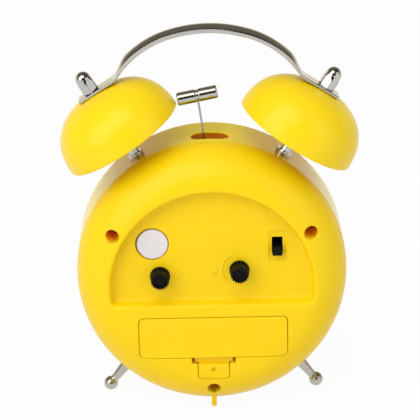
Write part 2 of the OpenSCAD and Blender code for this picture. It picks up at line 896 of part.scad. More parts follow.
module cover_screws() {
  color(steel) on_case() for (p = cover_screws_at) at_plan(p) difference() {
    union() {
      rod(screw_r, screw_seat_y - screw_l + fit_gap, screw_seat_y);
      rod(screw_head_r, screw_seat_y, screw_seat_y + screw_head_h);
    }
    for (a = [0, 90]) rotate([0, a, 0])
      block(-drive_l / 2, drive_l / 2, screw_seat_y + screw_head_h / 2, screw_seat_y + screw_head_h + over,
            -drive_w / 2, drive_w / 2);
  }
}

// Bells. A bell's rim is at z = 0 here and its crown at z = bell_h
function bell_curve(r, h, n) = [
  for (i = [0 : bell_steps])
    let (a = 90 * i / bell_steps)
    [r * pow(cos(a), 2 / n), h * pow(sin(a), 2 / n)]
];

module bell(side) {
  color(yellow) on_case() translate([0, -bell_plane, 0])
    rotate([0, side * bell_tilt, 0]) translate([0, 0, bell_rim_at]) difference() {
      rotate_extrude() polygon(concat([[0, 0]], bell_curve(bell_r, bell_h, bell_fullness)));
      rotate_extrude()
        polygon(concat([[0, -over], [bell_r - bell_wall, -over]],
                       bell_curve(bell_r - bell_wall, bell_h - bell_wall, bell_fullness)));
      cylinder(h = bell_h + over, r = post_r + fit_gap);
    }
}

module bell_left() {
  bell(-1);
}

module bell_right() {
  bell(1);
}

module on_posts() {
  on_case() translate([0, -bell_plane, 0]) for (s = [-1, 1]) rotate([0, s * bell_tilt, 0]) children();
}

module bell_posts() {
  color(steel) on_posts()
    translate([0, 0, post_foot_at]) cylinder(h = post_tip_at - post_foot_at, r = post_r);
}

module bell_sleeves() {
  crown = bell_rim_at + bell_h - bell_wall - shoulder_gap;
  color(chrome) on_posts() difference() {
    union() {
      translate([0, 0, case_r]) cylinder(h = collar_t, r = collar_r);
      translate([0, 0, case_r]) cylinder(h = crown - case_r, r = sleeve_r);
      translate([0, 0, crown - shoulder_t]) cylinder(h = shoulder_t, r = shoulder_r);
    }
    translate([0, 0, case_r - over]) cylinder(h = crown, r = post_r + press_gap);
  }
}

module acorn_nuts() {
  color(chrome) on_posts() translate([0, 0, nut_seat_at]) difference() {
    union() {
      intersection() {
        cylinder(h = nut_hex_h, r = nut_corner_r, $fn = 6);
        cylinder(h = nut_hex_h, r1 = nut_corner_r - press_gap, r2 = nut_dome_r + 2 * fit_gap);
      }
      cylinder(h = nut_hex_h, r = nut_dome_r);
      translate([0, 0, nut_hex_h]) sphere(nut_dome_r);
    }
    translate([0, 0, -nut_dome_r]) cylinder(h = nut_dome_r + nut_bore_depth, r = post_r + press_gap);
  }
}

module inside_nuts() {
  seat = band_inner_r - seat_gap;
  color(steel) {
    on_posts() translate([0, 0, seat - inner_nut_h]) difference() {
      cylinder(h = inner_nut_h, r = inner_nut_flats / sqrt(3), $fn = 6);
      translate([0, 0, -over]) cylinder(h = inner_nut_h + 2 * over, r = post_r + press_gap);
    }
    on_case() translate([0, -foot_plane, 0]) for (s = [-1, 1]) rotate([0, 180 + s * foot_tilt, 0])
      translate([0, 0, seat - inner_nut_h]) difference() {
        cylinder(h = inner_nut_h, r = inner_nut_flats / sqrt(3), $fn = 6);
        translate([0, 0, -over]) cylinder(h = inner_nut_h + 2 * over, r = stud_r + press_gap);
      }
  }
}

// Handle. Each section laps into the one before and is a hair smaller
module arc_sweep(r, from, span) {
  rotate([90, 0, 0]) rotate([0, 0, from]) rotate_extrude(angle = span) translate([r, 0]) children();
}

module crowned_section(r, inset) {
  intersection() {
    translate([r - crown_r, 0]) circle(crown_r - inset);
    translate([r - handle_t + inset, -handle_w / 2 + inset]) square([handle_t, handle_w - 2 * inset]);
  }
}

module flat_tab() {
  half = handle_w / 2 - 2 * nest_gap;
  start = tab_from - bend_r * sin(lap_angle);
  linear_extrude(tab_t) difference() {
    union() {
      translate([start, -half]) square([tab_end - tab_corner - start, 2 * half]);
      translate([0, -half + tab_corner]) square([tab_end, 2 * (half - tab_corner)]);
      for (s = [-1, 1]) translate([tab_end - tab_corner, s * (half - tab_corner)]) circle(tab_corner);
    }
    circle(post_r + fit_gap);
  }
}

module handle_end() {
  from = 90 - handle_half_angle;
  bend_p = arc_c + polar(strap_r + bend_r, from);
  bend_t = tab_t - 2 * nest_gap;
  translate([arc_c[0], 0, arc_c[1]])
    arc_sweep(0, from, handle_half_angle - crest_half_angle + lap_angle)
      crowned_section(shoulder_arc_r, nest_gap);
  translate([bend_p[0], 0, bend_p[1]])
    arc_sweep(bend_r, from + 180 - lap_angle, bend_angle + lap_angle)
      square([bend_t, handle_w - 6 * nest_gap], center = true);
  rotate([0, bell_tilt, 0]) translate([0, 0, tab_seat_at]) flat_tab();
}

module handle() {
  color(chrome) on_case() translate([0, -bell_plane, 0]) {
    translate([0, 0, crest_c])
      arc_sweep(0, 90 - crest_half_angle, 2 * crest_half_angle) crowned_section(crest_r, 0);
    for (s = [0, 1]) mirror([s, 0, 0]) handle_end();
  }
}

// Feet
module foot(side) {
  color(chrome) on_case() translate([0, -foot_plane, 0]) difference() {
    rotate([0, 180 + side * foot_tilt, 0]) {
      translate([0, 0, case_r - stud_l]) cylinder(h = stud_l + over, r = stud_r);
      translate([0, 0, case_r]) cylinder(h = foot_at - case_r, r1 = leg_top_r, r2 = leg_low_r);
      translate([0, 0, foot_at]) sphere(ball_r);
    }
    translate([-2 * case_r, -case_r, -centre_h - case_r]) cube([4 * case_r, 2 * case_r, case_r]);
  }
}

module foot_left() {
  foot(1);
}

module foot_right() {
  foot(-1);
}

// Movement housings
module house_outline(inset) {
  rounded_rect(house_x0 + inset, house_x1 - inset, house_z0 + inset, house_z1 - inset, house_corner - inset);
}

module pivot_holes(points, r, y0, y1) {
  for (p = points) at_plan(p) rod(r, y0, y1);
}

module movement_front() {
  color(natural) on_case() difference() {
    union() {
      slab(front_out, front_in) house_outline(0);
      slab(front_out, plate_y0) difference() {
        house_outline(0);
        house_outline(housing_wall);
      }
      rod(bush_r, dial_y0 - bush_out, front_in);
      for (p = house_screws_at) at_plan(p) rod(post_boss_r, front_in, plate_y0);
    }
    rod(bush_bore_r, dial_y0 - bush_out - over, front_in + over);
    at_plan([0, lamp_z]) rod(lamp_r + press_gap, front_out - over, front_in + over);
    pivot_holes([minute_p, time_p, alarm_p], arbor_r + shaft_gap, front_in - pivot_depth, front_in + over);
    for (p = house_screws_at) at_plan(p) rod(house_screw_r, front_in, plate_y0 + over);
  }
}

module middle_plate() {
  color(natural) on_case() difference() {
    slab(plate_y0, plate_y1) house_outline(0);
    rod(pipe_r + shaft_gap, plate_y0 - over, plate_y1 + over);
    pivot_holes([minute_p], arbor_r + shaft_gap, plate_y0 - over, plate_y1 + over);
    pivot_holes([time_p, alarm_p], shaft_r + shaft_gap, plate_y0 - over, plate_y1 + over);
    pivot_holes([third_p, inter_p, rotor_p], pin_r + shaft_gap, plate_y0 - over, plate_y1 + over);
    for (p = house_screws_at) at_plan(p) rod(house_screw_r + shaft_gap, plate_y0 - over, plate_y1 + over);
  }
}

module movement_rear() {
  color(natural) on_case() difference() {
    union() {
      slab(rear_in, rear_out) house_outline(0);
      slab(plate_y1, rear_out) difference() {
        house_outline(0);
        house_outline(housing_wall);
      }
      for (p = house_screws_at) at_plan(p) rod(post_boss_r, plate_y1, rear_out);
      for (p = [[board_x0, board_z0], [board_x1, board_z1]])
        at_plan(p + (p[0] == board_x0 ? 1 : -1) * [2 * board_post_r, 2 * board_post_r])
          rod(board_post_r, board_y0 + board_t, rear_in);
      block(coil_x - coil_l / 4, coil_x + coil_l / 4, coil_y + coil_r + press_gap, rear_in,
            coil_z - coil_r, coil_z + coil_r);
    }
    pivot_holes([time_p, alarm_p], shaft_r + shaft_gap, rear_in - over, rear_out + over);
    pivot_holes([third_p, inter_p, rotor_p, [0, 0]], pin_r + shaft_gap,
                rear_in - over, rear_in + pivot_depth);
    for (p = house_screws_at) at_plan(p) rod(house_screw_r + shaft_gap, plate_y1 - over, rear_out + over);
  }
}

module movement_screws() {
  color(steel) on_case() for (p = house_screws_at) at_plan(p) difference() {
    union() {
      rod(house_screw_r - press_gap, front_in + wheel_t, rear_out);
      rod(house_head_r, rear_out, rear_out + house_head_h);
    }
    block(-house_head_r, house_head_r, rear_out + house_head_h / 2, rear_out + house_head_h + over,
          -drive_w / 2, drive_w / 2);
  }
}

module dial_nut() {
  color(brass) on_case() difference() {
    rod(dial_nut_r, dial_y0 - dial_nut_t, dial_y0);
    rod(bush_r + press_gap, dial_y0 - dial_nut_t - over, dial_y0 + over);
    for (s = [-1, 1])
      block(s > 0 ? bush_r + fit_gap : -dial_nut_r - over, s > 0 ? dial_nut_r + over : -bush_r - fit_gap,
            dial_y0 - dial_nut_t - over, dial_y0 - dial_nut_t / 2, -drive_w, drive_w);
  }
}

// Hand-setting work behind the dial
module alarm_wheel() {
  color(natural) on_case() difference() {
    union() {
      gear(alarm_teeth, alarm_module, 0, alarm_y0, alarm_y1);
      rod(alarm_tube_r, alarm_hand_y - hand_t, alarm_y1);
    }
    rod(alarm_bore_r, alarm_hand_y - hand_t - over, alarm_y1 + over);
  }
}

module hour_wheel() {
  color(brass) on_case() difference() {
    union() {
      gear(hour_teeth, gear_module, hour_phase, hour_y0, hour_y1);
      rod(hour_tube_r, hour_hand_y - hand_t, hour_y1);
    }
    rod(hour_bore_r, hour_hand_y - hand_t - over, hour_y1 + over);
  }
}

module minute_wheel() {
  color(brass) on_case() at_plan(minute_p) {
    gear(minute_teeth, gear_module, minute_phase, minute_y0, minute_y1);
    gear(minute_pinion_teeth, gear_module, 0, hour_y0 - pinion_extra, minute_y0);
    rod(arbor_r, front_in - pivot_depth + fit_gap, plate_y1 - fit_gap);
  }
}

module cannon_pinion() {
  color(brass) on_case() difference() {
    union() {
      gear(cannon_teeth, gear_module, 0, minute_y0 - pinion_extra, minute_y1 + pinion_extra);
      rod(cannon_tube_r, minute_hand_y - hand_t, minute_y1 + pinion_extra);
    }
    rod(cannon_bore_r, minute_hand_y - hand_t - over, plate_y0);
    rod(pipe_r + shaft_gap, minute_y1 + pinion_extra - pipe_grip, plate_y0);
  }
}

// Going train behind the middle plate
module centre_wheel() {
  color(brass) on_case() difference() {
    union() {
      gear(centre_teeth, third_module, 0, centre_y0, centre_y1);
      rod(pipe_r, minute_y1 + pinion_extra - pipe_grip + fit_gap, centre_y1);
    }
    rod(cannon_bore_r, front_in, rear_in);
  }
}

module third_wheel() {
  color(natural) on_case() at_plan(third_p) {
    gear(third_teeth, second_module, third_phase, third_y0, third_y1);
    gear(third_pinion_teeth, third_module, third_pinion_phase, centre_y0 - pinion_extra, third_y0);
    rod(pin_r, plate_y0 + fit_gap, rear_in + pivot_depth - fit_gap);
    rod(arbor_r, third_y1, rear_in - fit_gap);
  }
}

module second_wheel() {
  color(natural) on_case() {
    gear(second_teeth, inter_module, 0, second_y0, second_y1);
    gear(second_pinion_teeth, second_module, 0, third_y0 - pinion_extra, second_y0);
    rod(second_arbor_r, second_hand_y - hand_t, third_y0);
    rod(pin_r, second_y1, rear_in + pivot_depth - fit_gap);
    rod(arbor_r, second_y1, rear_in - fit_gap);
  }
}

module intermediate_wheel() {
  color(natural) on_case() at_plan(inter_p) {
    gear(inter_teeth, rotor_module, 0, inter_y0, inter_y1);
    gear(inter_pinion_teeth, inter_module, inter_pinion_phase, second_y0 - pinion_extra, inter_y0);
    rod(pin_r, plate_y0 + fit_gap, rear_in + pivot_depth - fit_gap);
    rod(arbor_r, inter_y1, rear_in - fit_gap);
  }
}

module rotor() {
  color(steel) on_case() at_plan(rotor_p) {
    gear(rotor_teeth, rotor_module, rotor_phase, inter_y0 - pinion_extra, rotor_y0);
    rod(magnet_r, rotor_y0, rotor_y1);
    rod(pin_r, plate_y0 + fit_gap, rear_in + pivot_depth - fit_gap);
    rod(arbor_r, rotor_y1, rear_in - fit_gap);
  }
}

// Stator, coil and circuit board
module stator() {
  ring_r = magnet_r + stator_gap + stator_ring;
  y1 = stator_y0 + stator_t;
  left_x = coil_x - coil_l / 2 - fit_gap;
  right_x = coil_x + coil_l / 2 + fit_gap;
  low = rotor_p[1] - stator_ring / 2;
  high = rotor_p[1] + magnet_r - stator_gap;
  color(steel) on_case() difference() {
    union() {
      at_plan(rotor_p) rod(ring_r, stator_y0, y1);
      block(left_x - stator_ring, left_x, stator_y0, y1, high, coil_z + stator_ring);
      block(right_x, right_x + stator_ring, stator_y0, y1, low, coil_z + stator_ring);
      block(rotor_p[0], right_x + stator_ring, stator_y0, y1, low, low + stator_ring);
      translate([left_x - stator_ring / 2, coil_y, coil_z]) rotate([0, 90, 0])
        cylinder(h = coil_l + 2 * fit_gap + stator_ring, r = coil_core_r);
    }
    at_plan(rotor_p) rod(magnet_r + stator_gap, stator_y0 - over, y1 + over);
  }
}

module coil() {
  color(copper) on_case() translate([coil_x - coil_l / 2, coil_y, coil_z]) rotate([0, 90, 0]) difference() {
    union() {
      cylinder(h = coil_l, r = coil_r - coil_flange_t / 2);
      for (x = [0, coil_l - coil_flange_t]) translate([0, 0, x]) cylinder(h = coil_flange_t, r = coil_r);
    }
    translate([0, 0, -over]) cylinder(h = coil_l + 2 * over, r = coil_core_r + press_gap);
  }
}

module circuit_board() {
  mid_x = (board_x0 + board_x1) / 2;
  chip_z = board_z0 + chip_w / 4;
  color("#2f6b3f") on_case() {
    block(board_x0, board_x1, board_y0, board_y0 + board_t, board_z0, board_z1);
    block(mid_x - chip_w / 2, mid_x + chip_w / 2, board_y0 - chip_t, board_y0, chip_z, chip_z + chip_w);
  }
}

module quartz_crystal() {
  color(steel) on_case()
    translate([board_x0 + chip_w, board_y0 - crystal_r, board_z1 - 2 * crystal_r]) rotate([0, 90, 0])
      cylinder(h = crystal_l, r = crystal_r);
}

module lamp() {
  color("#fff3c8") on_case() at_plan([0, lamp_z]) {
    rod(lamp_r, dial_y0, front_in + run_gap + fine_t);
    translate([0, dial_y0, 0]) sphere(lamp_r);
    rod(lamp_r + 2 * fit_gap, front_in, front_in + fine_t);
  }
}

// Hands. A hand points to +Z before it is turned, and turns clockwise as seen from the dial
module hand(angle, y, l, w, tube_r, tail, tip_share) {
  neck = l * (1 - tip_share);
  tip = w * tip_share / 2;
  rotate([0, angle, 0]) difference() {
    slab(y - hand_t, y) {
      circle(tube_r + hand_hub);
      polygon([[-w / 2, -tail], [w / 2, -tail], [w / 2, neck], [tip, l], [-tip, l], [-w / 2, neck]]);
    }
    rod(tube_r + press_gap, y - hand_t - over, y + over);
  }
}

module alarm_hand() {
  color("black") on_case()
    hand(alarm_hand_angle, alarm_hand_y, alarm_hand_l, alarm_hand_w, alarm_tube_r, 0, alarm_tip_share);
}

module hour_hand() {
  color("black") on_case()
    hand(hour_hand_angle, hour_hand_y, hour_hand_l, hour_hand_w, hour_tube_r, 0, hour_tip_share);
}

module minute_hand() {
  color("black") on_case()
    hand(minute_hand_angle, minute_hand_y, minute_hand_l, minute_hand_w, cannon_tube_r, 0, minute_tip_share);
}

module second_hand() {
  color("#c2452d") on_case()
    hand(second_hand_angle, second_hand_y, second_hand_l, second_hand_w, second_arbor_r,
         second_tail_share * second_hand_l, second_tip_share);
}

// Setting shafts and knobs
module setting_shaft(p, teeth, m, phase, y0, y1) {
  color(natural) on_case() at_plan(p) {
    gear(teeth, m, phase, y0 - pinion_extra, y1 + pinion_extra);
    rod(arbor_r, front_in - pivot_depth + fit_gap, y0);
    rod(shaft_r, front_in + fit_gap, knob_y0 + knob_l - knob_hole_depth);
  }
}

module time_set_gear() {
  setting_shaft(time_p, setting_teeth, gear_module, setting_phase, minute_y0, minute_y1);
}

module alarm_set_gear() {
  setting_shaft(alarm_p, alarm_setting_teeth, alarm_module, alarm_setting_phase, alarm_y0, alarm_y1);
}

module knob(p) {
  color(black) on_case() at_plan(p) difference() {
    union() {
      rod(knob_r, knob_y0, knob_y0 + knob_collar_l);
      slab(knob_y0, knob_y0 + knob_l) polygon([
        for (i = [0 : knob_ribs - 1], k = [0 : 3])
          let (groove = k == 0 || k == 3 ? knob_groove_depth : 0)
          polar(knob_body_r - groove, (i + rib_pitch_shares[k]) * 360 / knob_ribs)
      ]);
    }
    rod(shaft_r + press_gap, knob_y0 - over, knob_y0 + knob_l + over);
  }
}

module time_knob() {
  knob(time_p);
}

module alarm_knob() {
  knob(alarm_p);
}

// Light button, spring and switch
button_y1 = pan_y + button_proud;
flange_y1 = pan_inner_y - button_flange_gap;
flange_y0 = flange_y1 - button_flange_t;
module light_button() {
  color(lilac) on_case() at_plan([button_x - button_shift, button_z]) difference() {
    union() {
      rod(button_r, flange_y0, button_y1);
      rod(button_flange_r, flange_y0, flange_y1);
    }
    rod(button_r - button_wall, flange_y0 - over, button_y1 - button_wall);
  }
  color(lilac) on_case() at_plan([button_x - button_shift, button_z])
    rod(tact_pin_r, tact_top + button_travel + press_gap, button_y1 - button_wall / 2);
}

tact_top = rear_out + tact_h + tact_pin_h;
module button_spring() {
  color(steel) on_case() at_plan([button_x - button_shift, button_z]) rotate([-90, 0, 0])
    swept(coil_points(button_spring_r, button_spring_r, rear_out + spring_wire_r + press_gap,
                      flange_y0 + button_inner_gap - spring_wire_r, spring_turns), spring_wire_r, coil_sides);
}
button_spring_r = button_r - button_wall - 2 * spring_wire_r;
button_inner_gap = button_y1 - button_wall - flange_y0 - press_gap;

module light_switch() {
  color(black) on_case() at_plan([button_x - button_shift, button_z]) {
    block(-tact_w / 2, tact_w / 2, rear_out, rear_out + tact_h, -tact_w / 2, tact_w / 2);
    rod(tact_pin_r, rear_out + tact_h, tact_top);
  }
}

// Alarm switch
slider_y1 = pan_inner_y - switch_box_wall;
module switch_slider() {
  y0 = slider_y1 - slider_t;
  plate_half = lever_w / 2 + slider_gap;
  color(black) on_case() at_plan([switch_x, switch_z]) {
    block(-lever_w / 2, lever_w / 2, y0, pan_y + lever_out, slider_gap / 2 - lever_h, slider_gap / 2);
    block(-plate_half, plate_half, y0, slider_y1 - press_gap, -slider_gap - lever_h, slider_gap);
  }
}

module switch_body() {
  y0 = pan_inner_y - switch_box_d;
  room_x = lever_w / 2 + 2 * slider_gap;
  room_z = lever_h + 2 * slider_gap;
  color(black) on_case() at_plan([switch_x, switch_z]) difference() {
    block(-switch_box_w / 2, switch_box_w / 2, y0, pan_inner_y, -switch_box_h / 2, switch_box_h / 2);
    block(-room_x, room_x, y0 + switch_box_wall, slider_y1, -room_z, room_z);
    block(-window_w / 2, window_w / 2, slider_y1 - over, pan_inner_y + over, -window_h / 2, window_h / 2);
  }
}

// Battery, contacts and door
cell_y = cover_depth - cover_wall - tray_depth + tray_wall + cell_r + fit_gap;
cell_z = door_top_z - door_h / 2;
tray_x = door_w / 2 + tray_margin - tray_wall;
cell_x1 = tray_x - contact_t - fit_gap;
module battery_cell() {
  color("#3b7a57") on_case() translate([cell_x1 - cell_l, cell_y, cell_z]) rotate([0, 90, 0]) {
    cylinder(h = cell_l - nub_l, r = cell_r);
    cylinder(h = cell_l, r = nub_r);
  }
}

module contact_sheet(x0) {
  half = contact_w / 2;
  block(x0, x0 + contact_t, cell_y - half, cell_y + half, cell_z - half, cell_z + half);
}

module contact_plate() {
  color(steel) on_case() contact_sheet(tray_x - contact_t);
}

module contact_spring() {
  x0 = -tray_x + contact_t + contact_wire_r / 2;
  x1 = cell_x1 - cell_l - fit_gap / 2 - contact_wire_r;
  wide = contact_spring_wide - contact_wire_r;
  color(steel) on_case() {
    contact_sheet(-tray_x);
    translate([0, cell_y, cell_z]) rotate([0, 90, 0])
      swept(coil_points(wide, contact_spring_narrow, x0, x1, contact_spring_turns),
            contact_wire_r, coil_sides);
  }
}

module battery_door() {
  door_y = cover_depth - door_t;
  neck_y = door_y - latch_neck_drop;
  tongue_y = cover_depth - cover_wall - tongue_gap;
  tongue_z = door_top_z - tongue_w / 2;
  color(yellow) on_case() intersection() {
    spin() cover_profile(0);
    difference() {
      union() {
        slab(door_y, cover_depth) {
          door_outline(door_gap);
          latch_outline(door_gap);
        }
        block(-latch_neck_w / 2, latch_neck_w / 2, neck_y, door_y,
              latch_z0 + seat_gap, latch_z1 + tab_corner_r);
        block(door_gap - tab_w / 2, tab_w / 2 - door_gap, neck_y, door_y, latch_z0 - tab_corner_r, latch_z1);
        for (s = [-1, 0, 1]) translate([s * tongue_x, 0, 0]) {
          block(-tongue_w / 2, tongue_w / 2, tongue_y - tongue_t, door_y, tongue_z, door_top_z - door_gap);
          block(-tongue_w / 2, tongue_w / 2, tongue_y - tongue_t, tongue_y, tongue_z, door_top_z + tongue_h);
        }
      }
      block(-latch_slot_w / 2, latch_slot_w / 2, cover_depth - latch_neck_drop, cover_depth + over,
            latch_z0, latch_z1 + door_gap);
      at_plan([0, dimple_z]) rod(dimple_r, cover_depth - dimple_depth, cover_depth + over);
    }
  }
}

// Striker
motor_p = [motor_at * cos(motor_angle), crank_z];
module striker_bracket() {
  top = pivot_z + bracket_top;
  color(natural) on_case() difference() {
    union() {
      block(bracket_x0, base_x, base_y0, base_y1, house_z1, house_z1 + base_t);
      block(bracket_x0, bracket_x1, bracket_y0, bracket_y0 + bracket_t, house_z1, top);
      at_plan([0, crank_z]) rod(crank_axle_r, crank_y0 + fit_gap, bracket_y0);
    }
    at_plan(motor_p) rod(motor_boss_r + fit_gap, bracket_y0 - over, bracket_y0 + bracket_t + over);
    at_plan([0, pivot_z]) rod(pivot_r + press_gap, bracket_y0 - over, bracket_y0 + bracket_t + over);
  }
}

module hammer_pivot() {
  color(steel) on_case() at_plan([0, pivot_z]) {
    rod(pivot_r, hub_y0 - fit_gap, bracket_y0 + bracket_t);
    rod(pivot_head_r, hub_y0 - fit_gap - pivot_head_t, hub_y0 - fit_gap);
  }
}

wire_l = (hammer_z - pivot_z) / cos(hammer_lean);
module hammer_arm() {
  color(steel) on_case() at_plan([0, pivot_z]) rotate([0, hammer_lean, 0]) difference() {
    union() {
      rod(hub_r, hub_y0, tail_y1);
      block(-tail_w / 2, tail_w / 2, tail_y0, tail_y1, -tail_l - fork_tip, 0);
      translate([0, -bell_plane, 0]) cylinder(h = wire_l, r = wire_r);
    }
    rod(pivot_r + shaft_gap, hub_y0 - over, tail_y1 + over);
    block(-crank_pin_r - fork_gap, crank_pin_r + fork_gap, tail_y0 - over, tail_y1 + over,
          -tail_l - fork_tip - over, -tail_l + fork_tip);
  }
}

module hammer_head() {
  half = head_l / 2;
  end = half - head_chamfer;
  color(chrome) on_case() at_plan([0, pivot_z])
    rotate([0, hammer_lean, 0]) translate([0, -bell_plane, wire_l]) difference() {
      rotate([0, head_tilt + 90, 0]) {
        cylinder(h = 2 * end, r = head_r - head_groove, center = true);
        for (s = [0, 180]) rotate([0, s, 0]) {
          translate([0, 0, head_groove_w / 2]) cylinder(h = end - head_groove_w / 2, r = head_r);
          translate([0, 0, end]) cylinder(h = head_chamfer, r1 = head_r, r2 = head_r - head_chamfer);
        }
      }
      translate([0, 0, -head_r - over]) cylinder(h = head_r + over, r = wire_r + press_gap);
    }
}

module crank_wheel() {
  color(natural) on_case() at_plan([0, crank_z]) {
    difference() {
      gear(crank_teeth, crank_module, 0, crank_y0, crank_y1);
      rod(crank_axle_r + shaft_gap, crank_y0 - over, crank_y1 + over);
    }
    at_plan([-crank_turn, 0]) rod(crank_pin_r, tail_y0 - fit_gap, crank_y0 + press_gap);
  }
}

module motor() {
  y0 = bracket_y0 + bracket_t;
  color(steel) on_case() at_plan(motor_p) difference() {
    union() {
      rod(motor_r, y0, y0 + motor_l);
      rod(motor_boss_r, y0 - motor_boss_t, y0);
    }
    rod(motor_shaft_r + shaft_gap, y0 - over, y0 + motor_l / 2);
  }
}

module motor_pinion() {
  color(brass) on_case() at_plan(motor_p) {
    gear(motor_teeth, crank_module, motor_phase, crank_y0, crank_y1);
    rod(motor_shaft_r, crank_y0 - fit_gap, bracket_y0 + bracket_t + motor_l / 3);
  }
}

case_band();
back_cover();
front_bezel();
lens();
dial();
dial_ring();
cover_screws();
bell_left();
bell_right();
bell_posts();
bell_sleeves();
acorn_nuts();
inside_nuts();
handle();
foot_left();
foot_right();
movement_front();
middle_plate();
movement_rear();
movement_screws();
dial_nut();
alarm_wheel();
hour_wheel();
minute_wheel();
cannon_pinion();
centre_wheel();
third_wheel();
second_wheel();
intermediate_wheel();
rotor();
stator();
coil();
circuit_board();
quartz_crystal();
alarm_hand();
hour_hand();
minute_hand();
second_hand();
lamp();
time_set_gear();
time_knob();
alarm_set_gear();
alarm_knob();
light_button();
button_spring();
light_switch();
switch_slider();
switch_body();
battery_cell();
contact_plate();
contact_spring();
battery_door();
striker_bracket();
hammer_pivot();
hammer_arm();
hammer_head();
crank_wheel();
motor();
motor_pinion();
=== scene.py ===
import json
import math

import bpy
import numpy as np
from mathutils import Matrix, Vector
from mathutils.geometry import delaunay_2d_cdt
from mathutils.kdtree import KDTree


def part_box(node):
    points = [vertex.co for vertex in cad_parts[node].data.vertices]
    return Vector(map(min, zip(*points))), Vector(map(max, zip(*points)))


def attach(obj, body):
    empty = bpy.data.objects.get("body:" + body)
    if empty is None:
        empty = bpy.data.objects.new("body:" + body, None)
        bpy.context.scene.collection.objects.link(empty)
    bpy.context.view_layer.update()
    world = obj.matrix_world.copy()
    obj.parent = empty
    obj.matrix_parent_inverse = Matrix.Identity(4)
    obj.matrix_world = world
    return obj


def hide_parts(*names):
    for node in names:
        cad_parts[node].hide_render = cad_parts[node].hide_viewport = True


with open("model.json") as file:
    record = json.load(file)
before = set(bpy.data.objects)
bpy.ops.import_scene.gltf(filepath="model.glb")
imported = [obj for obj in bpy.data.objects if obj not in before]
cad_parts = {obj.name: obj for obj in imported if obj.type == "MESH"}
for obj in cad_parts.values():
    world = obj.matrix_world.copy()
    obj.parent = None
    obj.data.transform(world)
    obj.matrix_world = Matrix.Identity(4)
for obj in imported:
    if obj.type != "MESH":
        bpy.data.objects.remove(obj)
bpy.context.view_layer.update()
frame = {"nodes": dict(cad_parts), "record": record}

# Lengths are in millimetres from the case's centre on its rear seam: x to the left
# as seen from the rear, y to the rear, z up. build() turns them into metres.
GROUND = -55.5
ORIGIN = np.array([0.0, 6.3, -GROUND])
CASE_R = 53.5
COVER_Y = 17.2
COVER_WALL = 1.8
FLAT_R = CASE_R - COVER_Y
PAN_Y = COVER_Y - 5.0
BAND_Y = -23.6
BAND_WALL = 1.6
FRONT_Y = -26.4
BELL_PLANE = -7.0
FOOT_PLANE = -11.0
BELL_TILT = math.radians(32.3)
FOOT_TILT = math.radians(38.4)
TIME_KNOB = (20.5, 2.2)
ALARM_KNOB = (-10.65, 4.2)
BUTTON = (23.4, 15.3)
SWITCH = (-25.6, 13.8)
WELLS = ((38.6, 19.9), (-38.6, 19.9), (0.0, -45.5))
DOOR = (-29.4, -31.2, 29.4, -13.9)


# ---------------------------------------------------------------- mesh helpers
def unit(v):
    v = np.asarray(v, float)
    return v / np.maximum(np.linalg.norm(v, axis=-1, keepdims=True), 1e-12)


class Skin:
    """Gathers patches of vertices that carry their own normals."""

    def __init__(self):
        self.co, self.no, self.faces, self.mats, self.count = [], [], [], [], 0

    def add(self, co, no, faces, mat=0):
        co, no = np.asarray(co, float), unit(no)
        for f in faces:
            a, b, c = co[f[0]], co[f[1]], co[f[2]]
            n = np.cross(b - a, c - a)
            if len(f) > 3:
                n = n + np.cross(c - a, co[f[3]] - a)
            if n @ no[list(f)].sum(0) < 0:
                f = f[::-1]
            self.faces.append(tuple(int(i) + self.count for i in f))
            self.mats.append(mat)
        self.co.append(co)
        self.no.append(no)
        self.count += len(co)

    def grid(self, co, no, closed=False, mat=0):
        """co and no are arrays of rows and columns; closed joins the last column to the first."""
        rows, cols = co.shape[:2]
        faces = []
        for i in range(rows - 1):
            for j in range(cols if closed else cols - 1):
                k = (j + 1) % cols
                faces.append((i * cols + j, i * cols + k, (i + 1) * cols + k, (i + 1) * cols + j))
        self.add(co.reshape(-1, 3), no.reshape(-1, 3), faces, mat)

    def fan(self, loop, no, mat=0):
        """A flat cap inside one loop of points."""
        loop = np.asarray(loop, float)
        co = np.vstack([loop, loop.mean(0)])
        n = len(loop)
        self.add(co, np.tile(no, (n + 1, 1)), [(i, (i + 1) % n, n) for i in range(n)], mat)

    def build(self, name, body, slot, materials, replaces=()):
        mesh = bpy.data.meshes.new(name)
        co = (np.vstack(self.co) + ORIGIN) / 1000
        mesh.from_pydata(co.tolist(), [], self.faces)
        for m in materials:
            mesh.materials.append(m)
        mesh.polygons.foreach_set("material_index", self.mats)
        mesh.polygons.foreach_set("use_smooth", [True] * len(mesh.polygons))
        mesh.normals_split_custom_set_from_vertices(np.vstack(self.no).tolist())
        mesh.update()
        obj = bpy.data.objects.new(name, mesh)
        bpy.context.scene.collection.objects.link(obj)
        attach(obj, body)
        if replaces:
            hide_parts(*replaces)
        return obj


def fillet(points, radii, closed=True, step=18.0, count=None):
    """The corners of a flat line rounded to their radii, in arcs of at most step degrees or of count steps."""
    pts = [np.asarray(p, float) for p in points]
    n = len(pts)
    out = []
    for i, p in enumerate(pts):
        r = radii[i]
        if r <= 0 or (not closed and i in (0, n - 1)):
            out.append(p)
            continue
        u, v = unit(pts[i - 1] - p), unit(pts[(i + 1) % n] - p)
        half = math.acos(max(-1.0, min(1.0, float(u @ v)))) / 2
        if half > math.pi / 2 - 1e-4:
            out.append(p)
            continue
        centre = p + unit(u + v) * r / math.sin(half)
        a, b = p + u * r / math.tan(half) - centre, p + v * r / math.tan(half) - centre
        turn = math.atan2(a[0] * b[1] - a[1] * b[0], float(a @ b))
        k = count or max(2, math.ceil(abs(math.degrees(turn)) / step))
        for j in range(k + 1):
            t = turn * j / k
            out.append(centre + np.array([a[0] * math.cos(t) - a[1] * math.sin(t),
                                          a[0] * math.sin(t) + a[1] * math.cos(t)]))
    return np.array(out)


